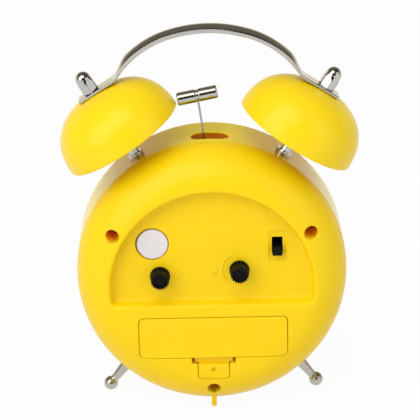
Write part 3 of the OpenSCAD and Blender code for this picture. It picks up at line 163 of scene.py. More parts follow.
def offset_corners(points, d):
    """The corners of a closed line, counter-clockwise, moved outwards by d."""
    pts = np.asarray(points, float)
    n = len(pts)
    out = []
    for i in range(n):
        u, v = unit(pts[i] - pts[i - 1]), unit(pts[(i + 1) % n] - pts[i])
        nu, nv = np.array([u[1], -u[0]]), np.array([v[1], -v[0]])
        m = unit(nu + nv)
        out.append(pts[i] + m * d / max(0.2, float(m @ nu)))
    return out


def turning(points):
    """+1 at each outward corner of a counter-clockwise line, -1 at each inward one."""
    pts = np.asarray(points, float)
    n = len(pts)
    out = []
    for i in range(n):
        u, v = pts[i] - pts[i - 1], pts[(i + 1) % n] - pts[i]
        out.append(1 if u[0] * v[1] - u[1] * v[0] > 0 else -1)
    return out


def rounded_loop(points, radii, d=0.0, gap=0.6):
    """A counter-clockwise line with rounded corners, moved outwards by d, with points at most gap apart."""
    radii = [max(0.0, r + s * d) if r > 0 or s * d > 0 else 0.0 for r, s in zip(radii, turning(points))]
    return dense(fillet(offset_corners(points, d), radii), gap)


def dense(loop, gap):
    """A closed line with points at most gap apart."""
    loop = np.asarray(loop, float)
    out = []
    for a, b in zip(loop, np.roll(loop, -1, 0)):
        k = max(1, math.ceil(np.linalg.norm(b - a) / gap))
        out += [a + (b - a) * j / k for j in range(k)]
    return np.array(out)


def box_corners(x0, z0, x1, z1):
    """The corners of a box, counter-clockwise."""
    return [(x0, z0), (x1, z0), (x1, z1), (x0, z1)]


def circle(x, z, r, n):
    a = np.linspace(0, 2 * math.pi, n, endpoint=False)
    return np.stack([x + r * np.cos(a), z + r * np.sin(a)], 1)


def arc(x, z, r, angles):
    return [(x + r * math.cos(a), z + r * math.sin(a)) for a in angles]


def line_distance(x, z, line, closed=True):
    """Distance of points from a line, and whether they lie inside it when it is closed."""
    line = np.asarray(line, float)
    a = line if closed else line[:-1]
    b = np.roll(line, -1, 0) if closed else line[1:]
    best = np.full(x.shape, 1e9)
    inside = np.zeros(x.shape, bool)
    for p, q in zip(a, b):
        d = q - p
        t = np.clip(((x - p[0]) * d[0] + (z - p[1]) * d[1]) / max(d @ d, 1e-12), 0, 1)
        best = np.minimum(best, np.hypot(x - p[0] - t * d[0], z - p[1] - t * d[1]))
        if closed and p[1] != q[1]:
            inside ^= ((p[1] > z) != (q[1] > z)) & (x < (q[0] - p[0]) * (z - p[1]) / (q[1] - p[1]) + p[0])
    return best, inside


def near(x, z, box, margin):
    """Which points lie in a box of x0, z0, x1, z1, or within the margin of it."""
    return (x > box[0] - margin) & (x < box[2] + margin) & (z > box[1] - margin) & (z < box[3] + margin)


def smooth(t):
    t = np.clip(t, 0, 1)
    return t * t * (3 - 2 * t)


def edge_drop(d, e):
    """How far a rounded edge of radius e has dropped at distance d from its wall."""
    t = np.clip(e - d, 0, e)
    return e - np.sqrt(np.maximum(e * e - t * t, 0))


def edge_steps(e, k=4):
    """Distances from a wall at which a rounded edge of radius e gets its lines."""
    return [e * (1 - math.sin(math.pi / 2 * (1 - i / k))) for i in range(k + 1)]


def triangulate(loops, scattered, keep, clearance=0.45):
    """Triangles over the loops, which are kept as edges, and scattered points that don't crowd them.

    keep says from the middles of the triangles which of them stay.
    """
    fixed, edges = [], []
    for loop in loops:
        n = len(fixed)
        fixed += [Vector((float(p[0]), float(p[1]))) for p in loop]
        edges += [(n + i, n + (i + 1) % len(loop)) for i in range(len(loop))]
    tree = KDTree(len(fixed))
    for i, p in enumerate(fixed):
        tree.insert((p[0], p[1], 0), i)
    tree.balance()
    for p, room in scattered:
        if tree.find((p[0], p[1], 0))[2] > room * clearance:
            fixed.append(Vector((float(p[0]), float(p[1]))))
    co, _, faces = delaunay_2d_cdt(fixed, edges, [], 0, 1e-7, False)[:3]
    co = np.array([tuple(p) for p in co])
    tri = np.array(faces)
    mid = co[tri].mean(1)
    return co, tri[keep(mid[:, 0], mid[:, 1])]


ROW_SHARE = 0.866  # the rows' distance, as a share of the points' gap


def hexagonal(x0, x1, z0, z1, gap):
    """Points gap apart in staggered rows, each with its gap."""
    out = []
    row = 0
    z = z0
    while z <= z1:
        x = x0 + (gap / 2 if row % 2 else 0)
        while x <= x1:
            out.append(((x, z), gap))
            x += gap
        z += gap * ROW_SHARE
        row += 1
    return out


def line_normals(points, closed=False):
    """Normals of a flat line, to its right as it runs."""
    p = np.asarray(points, float)
    if closed:
        t = np.roll(p, -1, 0) - np.roll(p, 1, 0)
    else:
        t = np.gradient(p, axis=0)
    t = unit(t)
    return np.stack([t[:, 1], -t[:, 0]], 1)


def spin(skin, profile, place, segments=128, normals=None, mat=0, floor=None):
    """Turns a profile of (radius, height) round an axis, cut off flat at the floor where one is given.

    place maps (across1, across2, along) to x, y, z.
    """
    profile = np.asarray(profile, float)
    nor = line_normals(profile) if normals is None else np.asarray(normals, float)
    a = np.linspace(0, 2 * math.pi, segments, endpoint=False)
    r, h = profile[:, :1], profile[:, 1:]
    co = np.stack([r * np.cos(a), r * np.sin(a), h + 0 * a], -1)
    no = np.stack([nor[:, :1] * np.cos(a), nor[:, :1] * np.sin(a), nor[:, 1:] + 0 * a], -1)
    co, no = place(co), place(no, True)
    if floor is not None:
        no[co[..., 2] < floor] = (0, 0, -1)
        co[..., 2] = np.maximum(co[..., 2], floor)
    skin.grid(co, no, closed=True, mat=mat)


def row_normals(rows):
    """Normals of a grid of rows round an axis."""
    return unit(np.cross(np.roll(rows, -1, 1) - np.roll(rows, 1, 1), np.gradient(rows, axis=0)))


def along_y(x=0.0, z=0.0):
    """Height runs along y, from a centre in the seam's plane."""
    def place(v, direction=False):
        out = np.stack([v[..., 0], v[..., 2], v[..., 1]], -1)
        return out if direction else out + np.array([x, 0.0, z])
    return place


def along(axis, origin, side=(0.0, 1.0, 0.0)):
    """Axis is the direction of height, side one direction across it."""
    axis, side = unit(axis), np.asarray(side, float)
    u = unit(side - axis * (side @ axis))
    v = np.cross(axis, u)

    def place(p, direction=False):
        out = p[..., :1] * u + p[..., 1:2] * v + p[..., 2:3] * axis
        return out if direction else out + np.asarray(origin, float)
    return place


# ---------------------------------------------------------------- materials
def nodes_of(name):
    m = bpy.data.materials.new(name)
    m.use_nodes = True
    return m, m.node_tree, m.node_tree.nodes["Principled BSDF"]


def noise(t, coordinate, scale, detail=3.0):
    n = t.nodes.new("ShaderNodeTexNoise")
    n.inputs["Scale"].default_value = scale
    n.inputs["Detail"].default_value = detail
    t.links.new(coordinate, n.inputs["Vector"])
    return n.outputs["Fac"]


def spread(t, value, low, high, start=0.3, end=0.7, kind="LINEAR"):
    """A change from low to high as value goes from start to end."""
    n = t.nodes.new("ShaderNodeMapRange")
    n.interpolation_type = kind
    for name, v in (("From Min", start), ("From Max", end), ("To Min", low), ("To Max", high)):
        n.inputs[name].default_value = v
    t.links.new(value, n.inputs["Value"])
    return n.outputs["Result"]


def math_node(t, operation, a, b):
    n = t.nodes.new("ShaderNodeMath")
    n.operation = operation
    for i, v in enumerate((a, b)):
        if isinstance(v, float):
            n.inputs[i].default_value = v
        else:
            t.links.new(v, n.inputs[i])
    return n.outputs[0]


def blend_colours(t, value, a, b, start=0.3, end=0.7):
    n = t.nodes.new("ShaderNodeValToRGB")
    n.color_ramp.elements[0].position = start
    n.color_ramp.elements[1].position = end
    n.color_ramp.elements[0].color = (*a, 1)
    n.color_ramp.elements[1].color = (*b, 1)
    t.links.new(value, n.inputs["Fac"])
    return n.outputs["Color"]


def bump(t, shader, height, distance):
    n = t.nodes.new("ShaderNodeBump")
    n.inputs["Distance"].default_value = distance
    t.links.new(height, n.inputs["Height"])
    t.links.new(n.outputs["Normal"], shader.inputs["Normal"])


def finish(name, colour, rough, metal=0.0, tone=0.06, tone_scale=60.0, grain_scale=2500.0, grain=4e-6,
           rough_spread=0.25, stretch=None, specular=0.5, coat=0.0, scatter=0.0, scatter_radius=None, tint=None):
    """A moulded, painted or plated surface: its tone, gloss and grain all vary a little over it."""
    m, t, s = nodes_of(name)
    c = t.nodes.new("ShaderNodeTexCoord").outputs["Object"]
    g = c
    if stretch:
        k = t.nodes.new("ShaderNodeMapping")
        k.inputs["Scale"].default_value = stretch
        t.links.new(c, k.inputs["Vector"])
        g = k.outputs["Vector"]
    a = tuple(max(0.0, v * (1 - tone)) for v in colour)
    b = tuple(min(1.0, v * (1 + tone)) for v in colour)
    t.links.new(blend_colours(t, noise(t, c, tone_scale), a, b), s.inputs["Base Color"])
    gloss = noise(t, g, tone_scale * 4, 4.0)
    t.links.new(spread(t, gloss, rough * (1 - rough_spread), rough * (1 + rough_spread)), s.inputs["Roughness"])
    bump(t, s, noise(t, g, grain_scale, 2.0), grain)
    values = {"Metallic": metal, "Specular IOR Level": specular}
    if tint:
        values["Specular Tint"] = (*tint, 1)
    if coat:
        values.update({"Coat Weight": coat, "Coat Roughness": 0.05})
    if scatter:
        values.update({"Subsurface Weight": scatter, "Subsurface Radius": scatter_radius, "Subsurface Scale": 1.0})
    for socket, value in values.items():
        s.inputs[socket].default_value = value
    m.diffuse_color = (*colour, 1)
    return m


def clear(name, colour, rough, ior=1.5):
    m, t, s = nodes_of(name)
    c = t.nodes.new("ShaderNodeTexCoord").outputs["Object"]
    t.links.new(spread(t, noise(t, c, 90.0, 5.0), rough * 0.5, rough * 1.6), s.inputs["Roughness"])
    t.links.new(blend_colours(t, noise(t, c, 40.0), tuple(v * 0.985 for v in colour), colour), s.inputs["Base Color"])
    bump(t, s, noise(t, c, 300.0, 2.0), 0.000001)
    s.inputs["Transmission Weight"].default_value = 1.0
    s.inputs["IOR"].default_value = ior
    m.diffuse_color = (*colour, 0.3)
    return m


FINISHES = {
    "yellow_plastic": ((0.90, 0.615, 0.004), 0.34, dict(
        tone=0.008, grain_scale=5000.0, grain=4e-7, rough_spread=0.15, specular=0.2)),
    "yellow_enamel": ((0.90, 0.635, 0.004), 0.28, dict(
        tone=0.006, grain_scale=1400.0, grain=2e-8, rough_spread=0.03, specular=0.25)),
    "yellow_gloss": ((0.88, 0.68, 0.004), 0.18, dict(
        tone=0.006, grain_scale=1500.0, grain=1e-7, rough_spread=0.15, specular=0.15, tint=(1.0, 0.88, 0.42))),
    # The yellow plastic made brighter and more orange for the walls of holes, wells and the battery bay: painted light
    # for the glow bounced inside these hollows; its subsurface scattering is real
    "hollow_painted_glow": ((0.98, 0.62, 0.02), 0.45, dict(
        tone=0.03, grain=4e-7, specular=0.2, scatter=1.0, scatter_radius=(0.02, 0.009, 0.0015))),
    # A dark red-orange for the hammer slot's wall and collar and the band's end ring: painted shade in the slot and in
    # the seam's gap, which draws the seam's dark line
    "slot_painted_shade": ((0.72, 0.20, 0.008), 0.4, dict(tone=0.05, grain=4e-7, specular=0.2)),
    "chrome_plate": ((0.52, 0.51, 0.475), 0.10, dict(
        metal=1.0, tone=0.03, tone_scale=120.0, grain_scale=1500.0, grain=2e-7, rough_spread=0.3)),
    "satin_nickel": ((0.50, 0.47, 0.40), 0.27, dict(
        metal=1.0, tone=0.04, tone_scale=200.0, grain_scale=4000.0, grain=4e-7, rough_spread=0.2)),
    "zinc_steel": ((0.50, 0.505, 0.51), 0.30, dict(metal=1.0, tone=0.10, grain_scale=3500.0, grain=3e-6)),
    "white_plastic": ((0.80, 0.80, 0.79), 0.45, dict(tone=0.02, grain_scale=6000.0, grain=2e-6)),
    "movement_plastic": ((0.70, 0.68, 0.61), 0.5, dict(tone=0.05)),
    "gear_plastic": ((0.78, 0.76, 0.68), 0.42, dict(tone=0.05)),
    "brass_metal": ((0.62, 0.43, 0.14), 0.28, dict(metal=1.0, tone=0.08, grain_scale=3000.0)),
    "black_plastic": ((0.004, 0.004, 0.004), 0.38, dict(tone=0.3, grain_scale=4000.0, grain=1e-6, specular=0.12)),
    "lilac_plastic": ((0.74, 0.70, 0.71), 0.33, dict(
        tone=0.03, grain=2e-6, scatter=0.15, scatter_radius=(0.003, 0.0026, 0.003))),
    "black_hand": ((0.014, 0.014, 0.014), 0.42, dict(tone=0.3, grain_scale=5000.0)),
    "red_hand": ((0.45, 0.02, 0.012), 0.38, dict(tone=0.08, grain_scale=5000.0)),
    "copper_wire": ((0.55, 0.21, 0.07), 0.32, dict(
        metal=1.0, tone=0.15, grain_scale=4000.0, grain=1e-5, stretch=(6.0, 0.3, 0.3))),
    "board_green": ((0.03, 0.14, 0.06), 0.42, dict(tone=0.15, tone_scale=400.0)),
    "cell_sleeve": ((0.05, 0.20, 0.12), 0.28, dict(tone=0.05, coat=0.4)),
    "dial_ink": ((0.016, 0.016, 0.018), 0.5, dict(tone=0.25, tone_scale=300.0, grain_scale=6000.0, grain=2e-6)),
}
M = {name: finish(name, colour, rough, **more) for name, (colour, rough, more) in FINISHES.items()}
M["clear_lens"] = clear("clear_lens", (1.0, 1.0, 1.0), 0.02)
M["lamp_clear"] = clear("lamp_clear", (1.0, 0.96, 0.84), 0.08, 1.52)
SLOTS = {s["node"]: s["material_slot"] for s in frame["record"]["subparts"]}


def dress(node, material):
    mesh = frame["nodes"][node].data
    if not mesh.materials:
        mesh.materials.append(material)
    for i in range(len(mesh.materials)):
        mesh.materials[i] = material


for node, slot in SLOTS.items():
    dress(node, M[slot])


# ---------------------------------------------------------------- rear cover
# The recess: centre of its bow, radius, height of its straight side, radius of its corners, depth
RECESS_C, RECESS_R, RECESS_Z, RECESS_CORNER, RECESS_DEEP = -2.8, 40.5, -9.2, 2.4, 5.0
# How far down it goes with the distance from its rim: rounded rim, drafted wall, rounded floor
RECESS_LINE = fillet([(-2.0, 0.0), (0.2, 0.0), (1.45, RECESS_DEEP), (4.5, RECESS_DEEP)], [0, 1.7, 2.0, 0],
                     closed=False, step=12)


def recess_distance(x, z):
    """Distance inside the recess's rim, negative outside it."""
    r, z0 = RECESS_R - RECESS_CORNER, RECESS_Z + RECESS_CORNER
    q = z - RECESS_C
    bow = r - np.hypot(x, q)
    base = z - z0
    kx = math.sqrt(r * r - (z0 - RECESS_C) ** 2)
    out = -np.hypot(np.abs(x) - kx, base)
    on_bow = r * q / np.maximum(np.hypot(x, q), 1e-9) + RECESS_C >= z0
    out = np.maximum(out, np.where((bow <= 0) & on_bow, bow, -1e9))
    out = np.maximum(out, np.where((base <= 0) & (np.abs(x) <= kx), base, -1e9))
    return np.where((bow > 0) & (base > 0), np.minimum(bow, base), out) + RECESS_CORNER


def recess_loop(d, gap=0.8):
    """The recess's rim moved inwards by d."""
    rho = max(RECESS_CORNER - d, 0.0)
    r, z0 = RECESS_R - d - rho, RECESS_Z + d + rho
    kx = math.sqrt(r * r - (z0 - RECESS_C) ** 2)
    a0 = math.atan2(z0 - RECESS_C, kx)
    n = int((math.pi - 2 * a0) * (r + rho) / gap)
    out = arc(0.0, RECESS_C, r + rho, [a0 + (math.pi - 2 * a0) * i / n for i in range(n + 1)])
    if rho > 0:
        out += arc(-kx, z0, rho, np.linspace(math.pi - a0, 1.5 * math.pi, 8)[1:])
    n = int(2 * kx / gap)
    out += [(-kx + 2 * kx * i / n, z0 - rho) for i in range(1, n + 1)]
    if rho > 0:
        out += arc(kx, z0, rho, np.linspace(-0.5 * math.pi, a0, 8)[1:-1])
    return np.array(out)


def dome(x, z):
    """The cover's height: flat in the middle, and a quarter circle down to the seam."""
    r = np.hypot(x, z)
    w = 5.0  # half the width over which the flat turns into the curve
    d = np.where(r > FLAT_R + w, r - FLAT_R, np.where(r < FLAT_R - w, 0, (r - FLAT_R + w) ** 2 / (4 * w)))
    return np.sqrt(np.maximum(COVER_Y ** 2 - np.clip(d, 0, COVER_Y) ** 2, 0))


def spread_out(x, z):
    """The cover's face unrolled, so that its steep rim has room for triangles."""
    r = np.hypot(x, z)
    t = np.where(r > FLAT_R, FLAT_R + COVER_Y * np.arcsin(np.clip((r - FLAT_R) / COVER_Y, 0, 1)), r)
    k = t / np.maximum(r, 1e-9)
    return x * k, z * k


def rolled_up(p, q):
    """The way back from spread_out."""
    t = np.hypot(p, q)
    r = np.where(t > FLAT_R, FLAT_R + COVER_Y * np.sin((t - FLAT_R) / COVER_Y), t)
    k = r / np.maximum(t, 1e-9)
    return p * k, q * k


# The battery opening: the door's box, the finger slot under it and the latch tab's bay under that
SLOT_X, SLOT_Z = 8.7, -33.6
TAB_X, TAB_Z = 6.35, -40.4
OPENING = [(DOOR[0], DOOR[1]), (-SLOT_X, DOOR[1]), (-SLOT_X, SLOT_Z), (-TAB_X, SLOT_Z), (-TAB_X, TAB_Z),
           (TAB_X, TAB_Z), (TAB_X, SLOT_Z), (SLOT_X, SLOT_Z), (SLOT_X, DOOR[1]), (DOOR[2], DOOR[1]),
           (DOOR[2], DOOR[3]), (DOOR[0], DOOR[3])]
OPENING_R = [2.0, 0.15, 0.2, 0.3, 1.8, 1.8, 0.3, 0.2, 0.15, 2.0, 2.0, 2.0]
OPENING_E = 0.3
opening_loop = rounded_loop(OPENING, OPENING_R, 0.0, 0.5)
# Floors of the door's ledge, the battery tray, its two cradles and the screw wells
LEDGE_Y, TRAY_Y, CRADLE_Y, WELL_Y = 14.2, 0.6, 1.4, 1.6
WINDOW = box_corners(SWITCH[0] - 2.1, SWITCH[1] - 3.5, SWITCH[0] + 2.1, SWITCH[1] + 3.5)
WINDOW_E = 0.15
POCKET_DEEP = 0.4
POCKET = (SWITCH[0] - 3.3, SWITCH[1] - 6.1, SWITCH[0] + 3.3, SWITCH[1] + 6.1)
# Round holes: x, z, radius, edge radius, depth of the wall
HOLES = [(*BUTTON, 6.55, 0.3, 1.8), (*TIME_KNOB, 2.3, 0.15, 1.8), (*ALARM_KNOB, 2.3, 0.15, 1.8)] + \
        [(x, z, 2.7, 0.25, None) for x, z in WELLS]

# The moulded marks: an arc with a small bell by the alarm knob, and an arrow head by the time knob
ARC = arc(*ALARM_KNOB, 6.9, np.radians(np.linspace(-45, 60, 24)))
BELL_AT = (ALARM_KNOB[0] + 9.9, ALARM_KNOB[1])
ARROW_AT = (TIME_KNOB[0] - 7.9, TIME_KNOB[1] + 0.9)
ARROW = [(ARROW_AT[0] + 0.9, ARROW_AT[1] + 1.8), (ARROW_AT[0] - 0.9, ARROW_AT[1]),
         (ARROW_AT[0] + 0.9, ARROW_AT[1] - 1.8)]
MARK_HIGH = 0.22


def raised_marks(x, z):
    """Height of the moulded marks beside the knobs."""
    out = np.zeros(x.shape)
    m = near(x, z, (ALARM_KNOB[0] + 3, ALARM_KNOB[1] - 7, ALARM_KNOB[0] + 13, ALARM_KNOB[1] + 8), 1)
    if m.any():
        d = line_distance(x[m], z[m], ARC, False)[0]
        h = smooth((0.42 - d) / 0.25)
        u, v = x[m] - BELL_AT[0], z[m] - BELL_AT[1]
        body = 1.45 - np.hypot(u, np.maximum(v, 0)) - np.where(v < 0, 0.22 * (v ** 2), 0)
        body = np.where(v < -1.5, -1.0, body)
        h = np.maximum(h, smooth(body / 0.25 + 0.4))
        h = np.maximum(h, smooth((0.45 - np.hypot(u, v + 1.9)) / 0.2))
        out[m] = h
    m = near(x, z, (ARROW_AT[0] - 2, ARROW_AT[1] - 3, ARROW_AT[0] + 2, ARROW_AT[1] + 3), 1)
    if m.any():
        d = line_distance(x[m], z[m], ARROW, False)[0]
        out[m] = np.maximum(out[m], smooth((0.42 - d) / 0.25))
    return out * MARK_HIGH


def cover_face(x, z):
    """The cover's height with its recess, pocket and marks, and the rounded edges of its openings."""
    y = dome(x, z)
    w = np.interp(recess_distance(x, z), RECESS_LINE[:, 0], RECESS_LINE[:, 1]) / RECESS_DEEP
    y = y + (PAN_Y - y) * w
    m = near(x, z, POCKET, 1)
    if m.any():
        d = np.minimum.reduce([x[m] - POCKET[0], POCKET[2] - x[m], z[m] - POCKET[1], POCKET[3] - z[m]])
        y[m] -= POCKET_DEEP * smooth((d + 0.15) / 0.45)
        d, inside = line_distance(x[m], z[m], WINDOW)
        y[m] -= edge_drop(np.where(inside, -d, d), WINDOW_E)
    y = y + raised_marks(x, z)
    for hx, hz, r, e, _ in HOLES:
        m = near(x, z, (hx - r, hz - r, hx + r, hz + r), e)
        if m.any():
            y[m] -= edge_drop(np.hypot(x[m] - hx, z[m] - hz) - r, e)
    m = near(x, z, (DOOR[0], TAB_Z, DOOR[2], DOOR[3]), 1)
    if m.any():
        d, inside = line_distance(x[m], z[m], opening_loop)
        y[m] -= edge_drop(np.where(inside, -d, d), OPENING_E)
    return y


OVERLAP = 0.002  # how far a wall reaches into the face above it
SLOPE_STEP = 0.01  # the step over which a face's slope is measured


def face_normals(face, x, z, eps=SLOPE_STEP):
    return unit(np.stack([-(face(x + eps, z) - face(x - eps, z)) / (2 * eps), np.ones(x.shape),
                          -(face(x, z + eps) - face(x, z - eps)) / (2 * eps)], -1))


def wall(skin, loop, top, bottom, sign=1, mat=0):
    """A wall along y under a loop. The normals point to the loop's inside for sign 1."""
    loop = np.asarray(loop, float)
    n = line_normals(loop, True) * -sign
    top = np.full(len(loop), top) if np.isscalar(top) else top
    co = np.stack([np.stack([loop[:, 0], top, loop[:, 1]], -1),
                   np.stack([loop[:, 0], np.full(len(loop), bottom), loop[:, 1]], -1)])
    no = np.stack([n[:, 0], 0 * n[:, 0], n[:, 1]], -1)
    skin.grid(co, np.stack([no, no]), closed=True, mat=mat)


def flat_between(skin, outer, inner, y, up=1, mat=0):
    """A flat floor at y between two loops."""
    loops = [outer] + ([inner] if inner is not None else [])

    def keep(x, z):
        ok = line_distance(x, z, outer)[1]
        return ok if inner is None else ok & ~line_distance(x, z, inner)[1]
    co, tri = triangulate(loops, [], keep)
    flat = np.stack([co[:, 0], np.full(len(co), y), co[:, 1]], -1)
    skin.add(flat, np.tile([0, up, 0], (len(co), 1)), tri.tolist(), mat)


def make_cover():
    """The rear cover: face, steep rim, walls of its holes, battery compartment and rear leg."""
    skin = Skin()
    outer_r, segments = 52.3, 256  # the face's triangles end here, and the steep rim's rows begin
    loops = [recess_loop(d) for d in RECESS_LINE[:, 0] if -1.3 < d < 3.6]
    for hx, hz, r, e, _ in HOLES:
        loops += [circle(hx, hz, r + d, 72 if r > 5 else 40) for d in edge_steps(e)]
    loops += [rounded_loop(OPENING, OPENING_R, d, 0.5) for d in edge_steps(OPENING_E)]
    loops += [dense(offset_corners(WINDOW, d), 0.5) for d in edge_steps(WINDOW_E, 2)]
    loops += [dense(offset_corners(box_corners(*POCKET), d), 0.6) for d in (-0.3, -0.15, 0.0, 0.15)]
    loops.append(circle(0, 0, outer_r, segments))
    flat = [np.stack(spread_out(*loop.T), 1) for loop in loops]
    coarse, fine = 1.35, 0.2
    points = hexagonal(-57, 57, -57, 57, coarse)
    points += hexagonal(ALARM_KNOB[0] + 3.5, ALARM_KNOB[0] + 12, ALARM_KNOB[1] - 6, ALARM_KNOB[1] + 7.2, fine)
    points += hexagonal(ARROW_AT[0] - 2, ARROW_AT[0] + 2, ARROW_AT[1] - 2.6, ARROW_AT[1] + 2.6, fine)
    inner = [point for point in points if math.hypot(*point[0]) < 55.0]

    def keep(p, q):
        x, z = rolled_up(p, q)
        ok = np.hypot(x, z) < outer_r
        for hx, hz, r, _, _ in HOLES:
            ok &= np.hypot(x - hx, z - hz) > r * 0.999
        return ok & ~line_distance(x, z, opening_loop)[1] & ~line_distance(x, z, WINDOW)[1]
    co, tri = triangulate(flat, inner, keep)
    x, z = rolled_up(co[:, 0], co[:, 1])
    skin.add(np.stack([x, cover_face(x, z), z], -1), face_normals(cover_face, x, z), tri.tolist())
    # The steep rim, down to the seam's rounded edge, and a lip behind it
    a0 = math.asin((outer_r - FLAT_R) / COVER_Y)
    seam, slit = 0.22, 0.5
    a1 = math.acos((seam + slit) / COVER_Y)
    line = [(FLAT_R + COVER_Y * math.sin(a), COVER_Y * math.cos(a)) for a in np.linspace(a0, a1, 14)]
    line += [(CASE_R - seam + seam * math.cos(b), slit + seam - seam * math.sin(b)) for b in np.radians([30, 60, 90])]
    line += [(CASE_R - 1.0, slit), (CASE_R - 1.2, 0.0), (CASE_R - 1.6, 0.0)]
    spin(skin, line[::-1], along_y(), segments)
    # Walls of the holes, which reach a hair into the face, in the painted light of material 1
    for hx, hz, r, _, deep in HOLES:
        loop = circle(hx, hz, r, 64)
        wall(skin, loop, cover_face(*loop.T) + OVERLAP, WELL_Y if deep is None else PAN_Y - deep, mat=1)
        if deep is None:
            flat_between(skin, circle(hx, hz, r, 48), None, WELL_Y, mat=1)
    window = dense(WINDOW, 1.0)
    wall(skin, window, cover_face(*window.T), PAN_Y - COVER_WALL)
    # The battery's compartment: its opening's wall and ledge get the painted light of material 1
    wall(skin, opening_loop, cover_face(*opening_loop.T) + OVERLAP, LEDGE_Y, mat=1)
    tray = rounded_loop(box_corners(-28.5, -30.3, 28.5, -14.8), [1.0] * 4, 0.0, 1.5)
    flat_between(skin, opening_loop, tray, LEDGE_Y, mat=1)
    wall(skin, tray, LEDGE_Y, TRAY_Y)
    flat_between(skin, tray, None, TRAY_Y)
    for k in (-1, 1):
        cradle = dense(box_corners(k * 14 - 1, -29.9, k * 14 + 1, -15.2), 2.0)
        wall(skin, cradle, CRADLE_Y, TRAY_Y, -1)
        flat_between(skin, cradle, None, CRADLE_Y)
    leg_skin(skin)
    return skin


def leg_skin(skin):
    """The short moulded leg under the cover, with rounded edges."""
    w, e = 1.0, 0.3  # half width, and the edges' radius
    side = fillet([(5.4, GROUND), (8.8, GROUND), (11.2, -49.1), (3.2, -51.6)], [0.5, 0.5, 0.3, 0.3])
    n = line_normals(side, True)
    rows, normals = [], []
    for x, inset, tilt in ((-w, e, 90), (-w + e * 0.13, e * 0.5, 60), (-w + e * 0.5, e * 0.13, 30), (-w + e, 0, 0),
                           (w - e, 0, 0), (w - e * 0.5, e * 0.13, -30), (w - e * 0.13, e * 0.5, -60), (w, e, -90)):
        c, s = math.cos(math.radians(tilt)), -math.sin(math.radians(tilt))
        p = side - n * inset
        p[:, 1] = np.maximum(p[:, 1], GROUND)
        rows.append(np.stack([np.full(len(p), x), p[:, 0], p[:, 1]], -1))
        normals.append(np.stack([np.full(len(p), s), n[:, 0] * c, n[:, 1] * c], -1))
    skin.grid(np.array(rows), np.array(normals), closed=True)
    skin.fan(rows[0], (-1, 0, 0))
    skin.fan(rows[-1], (1, 0, 0))


# Material 1 of the cover paints light into its hollows
make_cover().build("rear_cover_shell", "clock", "yellow_plastic", [M["yellow_plastic"], M["hollow_painted_glow"]],
                   ["back_cover"])


# ---------------------------------------------------------------- battery door
def make_door():
    """The door's plate and its latch tab, both with the cover's curve, joined behind the finger slot."""
    skin = Skin()
    gap, e, thick = 0.25, 0.3, 1.6
    dimple_z, dimple_r, dimple_deep = -36.15, 0.95, 0.95
    tab = box_corners(-TAB_X, TAB_Z, TAB_X, SLOT_Z + 0.05)
    for is_tab, corners, radii in ((False, box_corners(*DOOR), [2.0] * 4), (True, tab, [1.8, 1.8, 0.45, 0.45])):
        corners = offset_corners(corners, -gap)
        radii = [max(r - gap, 0.15) for r in radii]
        edge = rounded_loop(corners, radii, 0.0, 0.4)

        def face(x, z):
            y = dome(x, z)
            d, inside = line_distance(x, z, edge)
            y = y - edge_drop(np.where(inside, d, -d), e)
            if is_tab:
                y = y - dimple_deep * smooth((dimple_r - np.hypot(x, z - dimple_z)) / 0.2 + 0.5)
            return y
        loops = [rounded_loop(corners, radii, -d, 0.5) for d in edge_steps(e)]
        if is_tab:
            loops += [circle(0.0, dimple_z, r, 24) for r in (0.3, 0.6, 0.82, 0.88, 0.95, 1.02, 1.1, 1.3)]
        x0, z0 = np.array(corners).min(0)
        x1, z1 = np.array(corners).max(0)
        points = [p for p in hexagonal(x0, x1, z0, z1, 1.2)
                  if line_distance(np.array([p[0][0]]), np.array([p[0][1]]), edge)[1][0]]
        co, tri = triangulate(loops, points, lambda x, z: line_distance(x, z, edge)[1])
        x, z = co.T
        skin.add(np.stack([x, face(x, z), z], -1), face_normals(face, x, z), tri.tolist())
        bottom = dome(*edge.T).min() - thick + (0.0 if is_tab else 0.4)
        wall(skin, edge, face(*edge.T) + OVERLAP, bottom, -1)
        flat_between(skin, edge, None, bottom, -1)
    # The neck joins the tab to the plate behind the finger slot, and three tongues hold the top edge
    neck_y = COVER_Y - 1.75
    boxes = [((-7.5, SLOT_Z + 0.3, 7.5, DOOR[1] + 1.5), neck_y, neck_y - 1.2),
             ((-6.1, SLOT_Z - 1.2, 6.1, SLOT_Z + 0.6), neck_y - 0.02, neck_y - 1.18)]
    boxes += [((x - 2.0, DOOR[3] - 2.2, x + 2.0, DOOR[3] + 1.6), 15.2, 14.3) for x in (-20.0, 0.0, 20.0)]
    for box, y1, y0 in boxes:
        loop = rounded_loop(box_corners(*box), [0.3] * 4, 0.0, 1.0)
        wall(skin, loop, y1, y0, -1)
        flat_between(skin, loop, None, y1)
        flat_between(skin, loop, None, y0, -1)
    return skin


make_door().build("battery_door_lid", "battery_door", "yellow_plastic", [M["yellow_plastic"]], ["battery_door"])


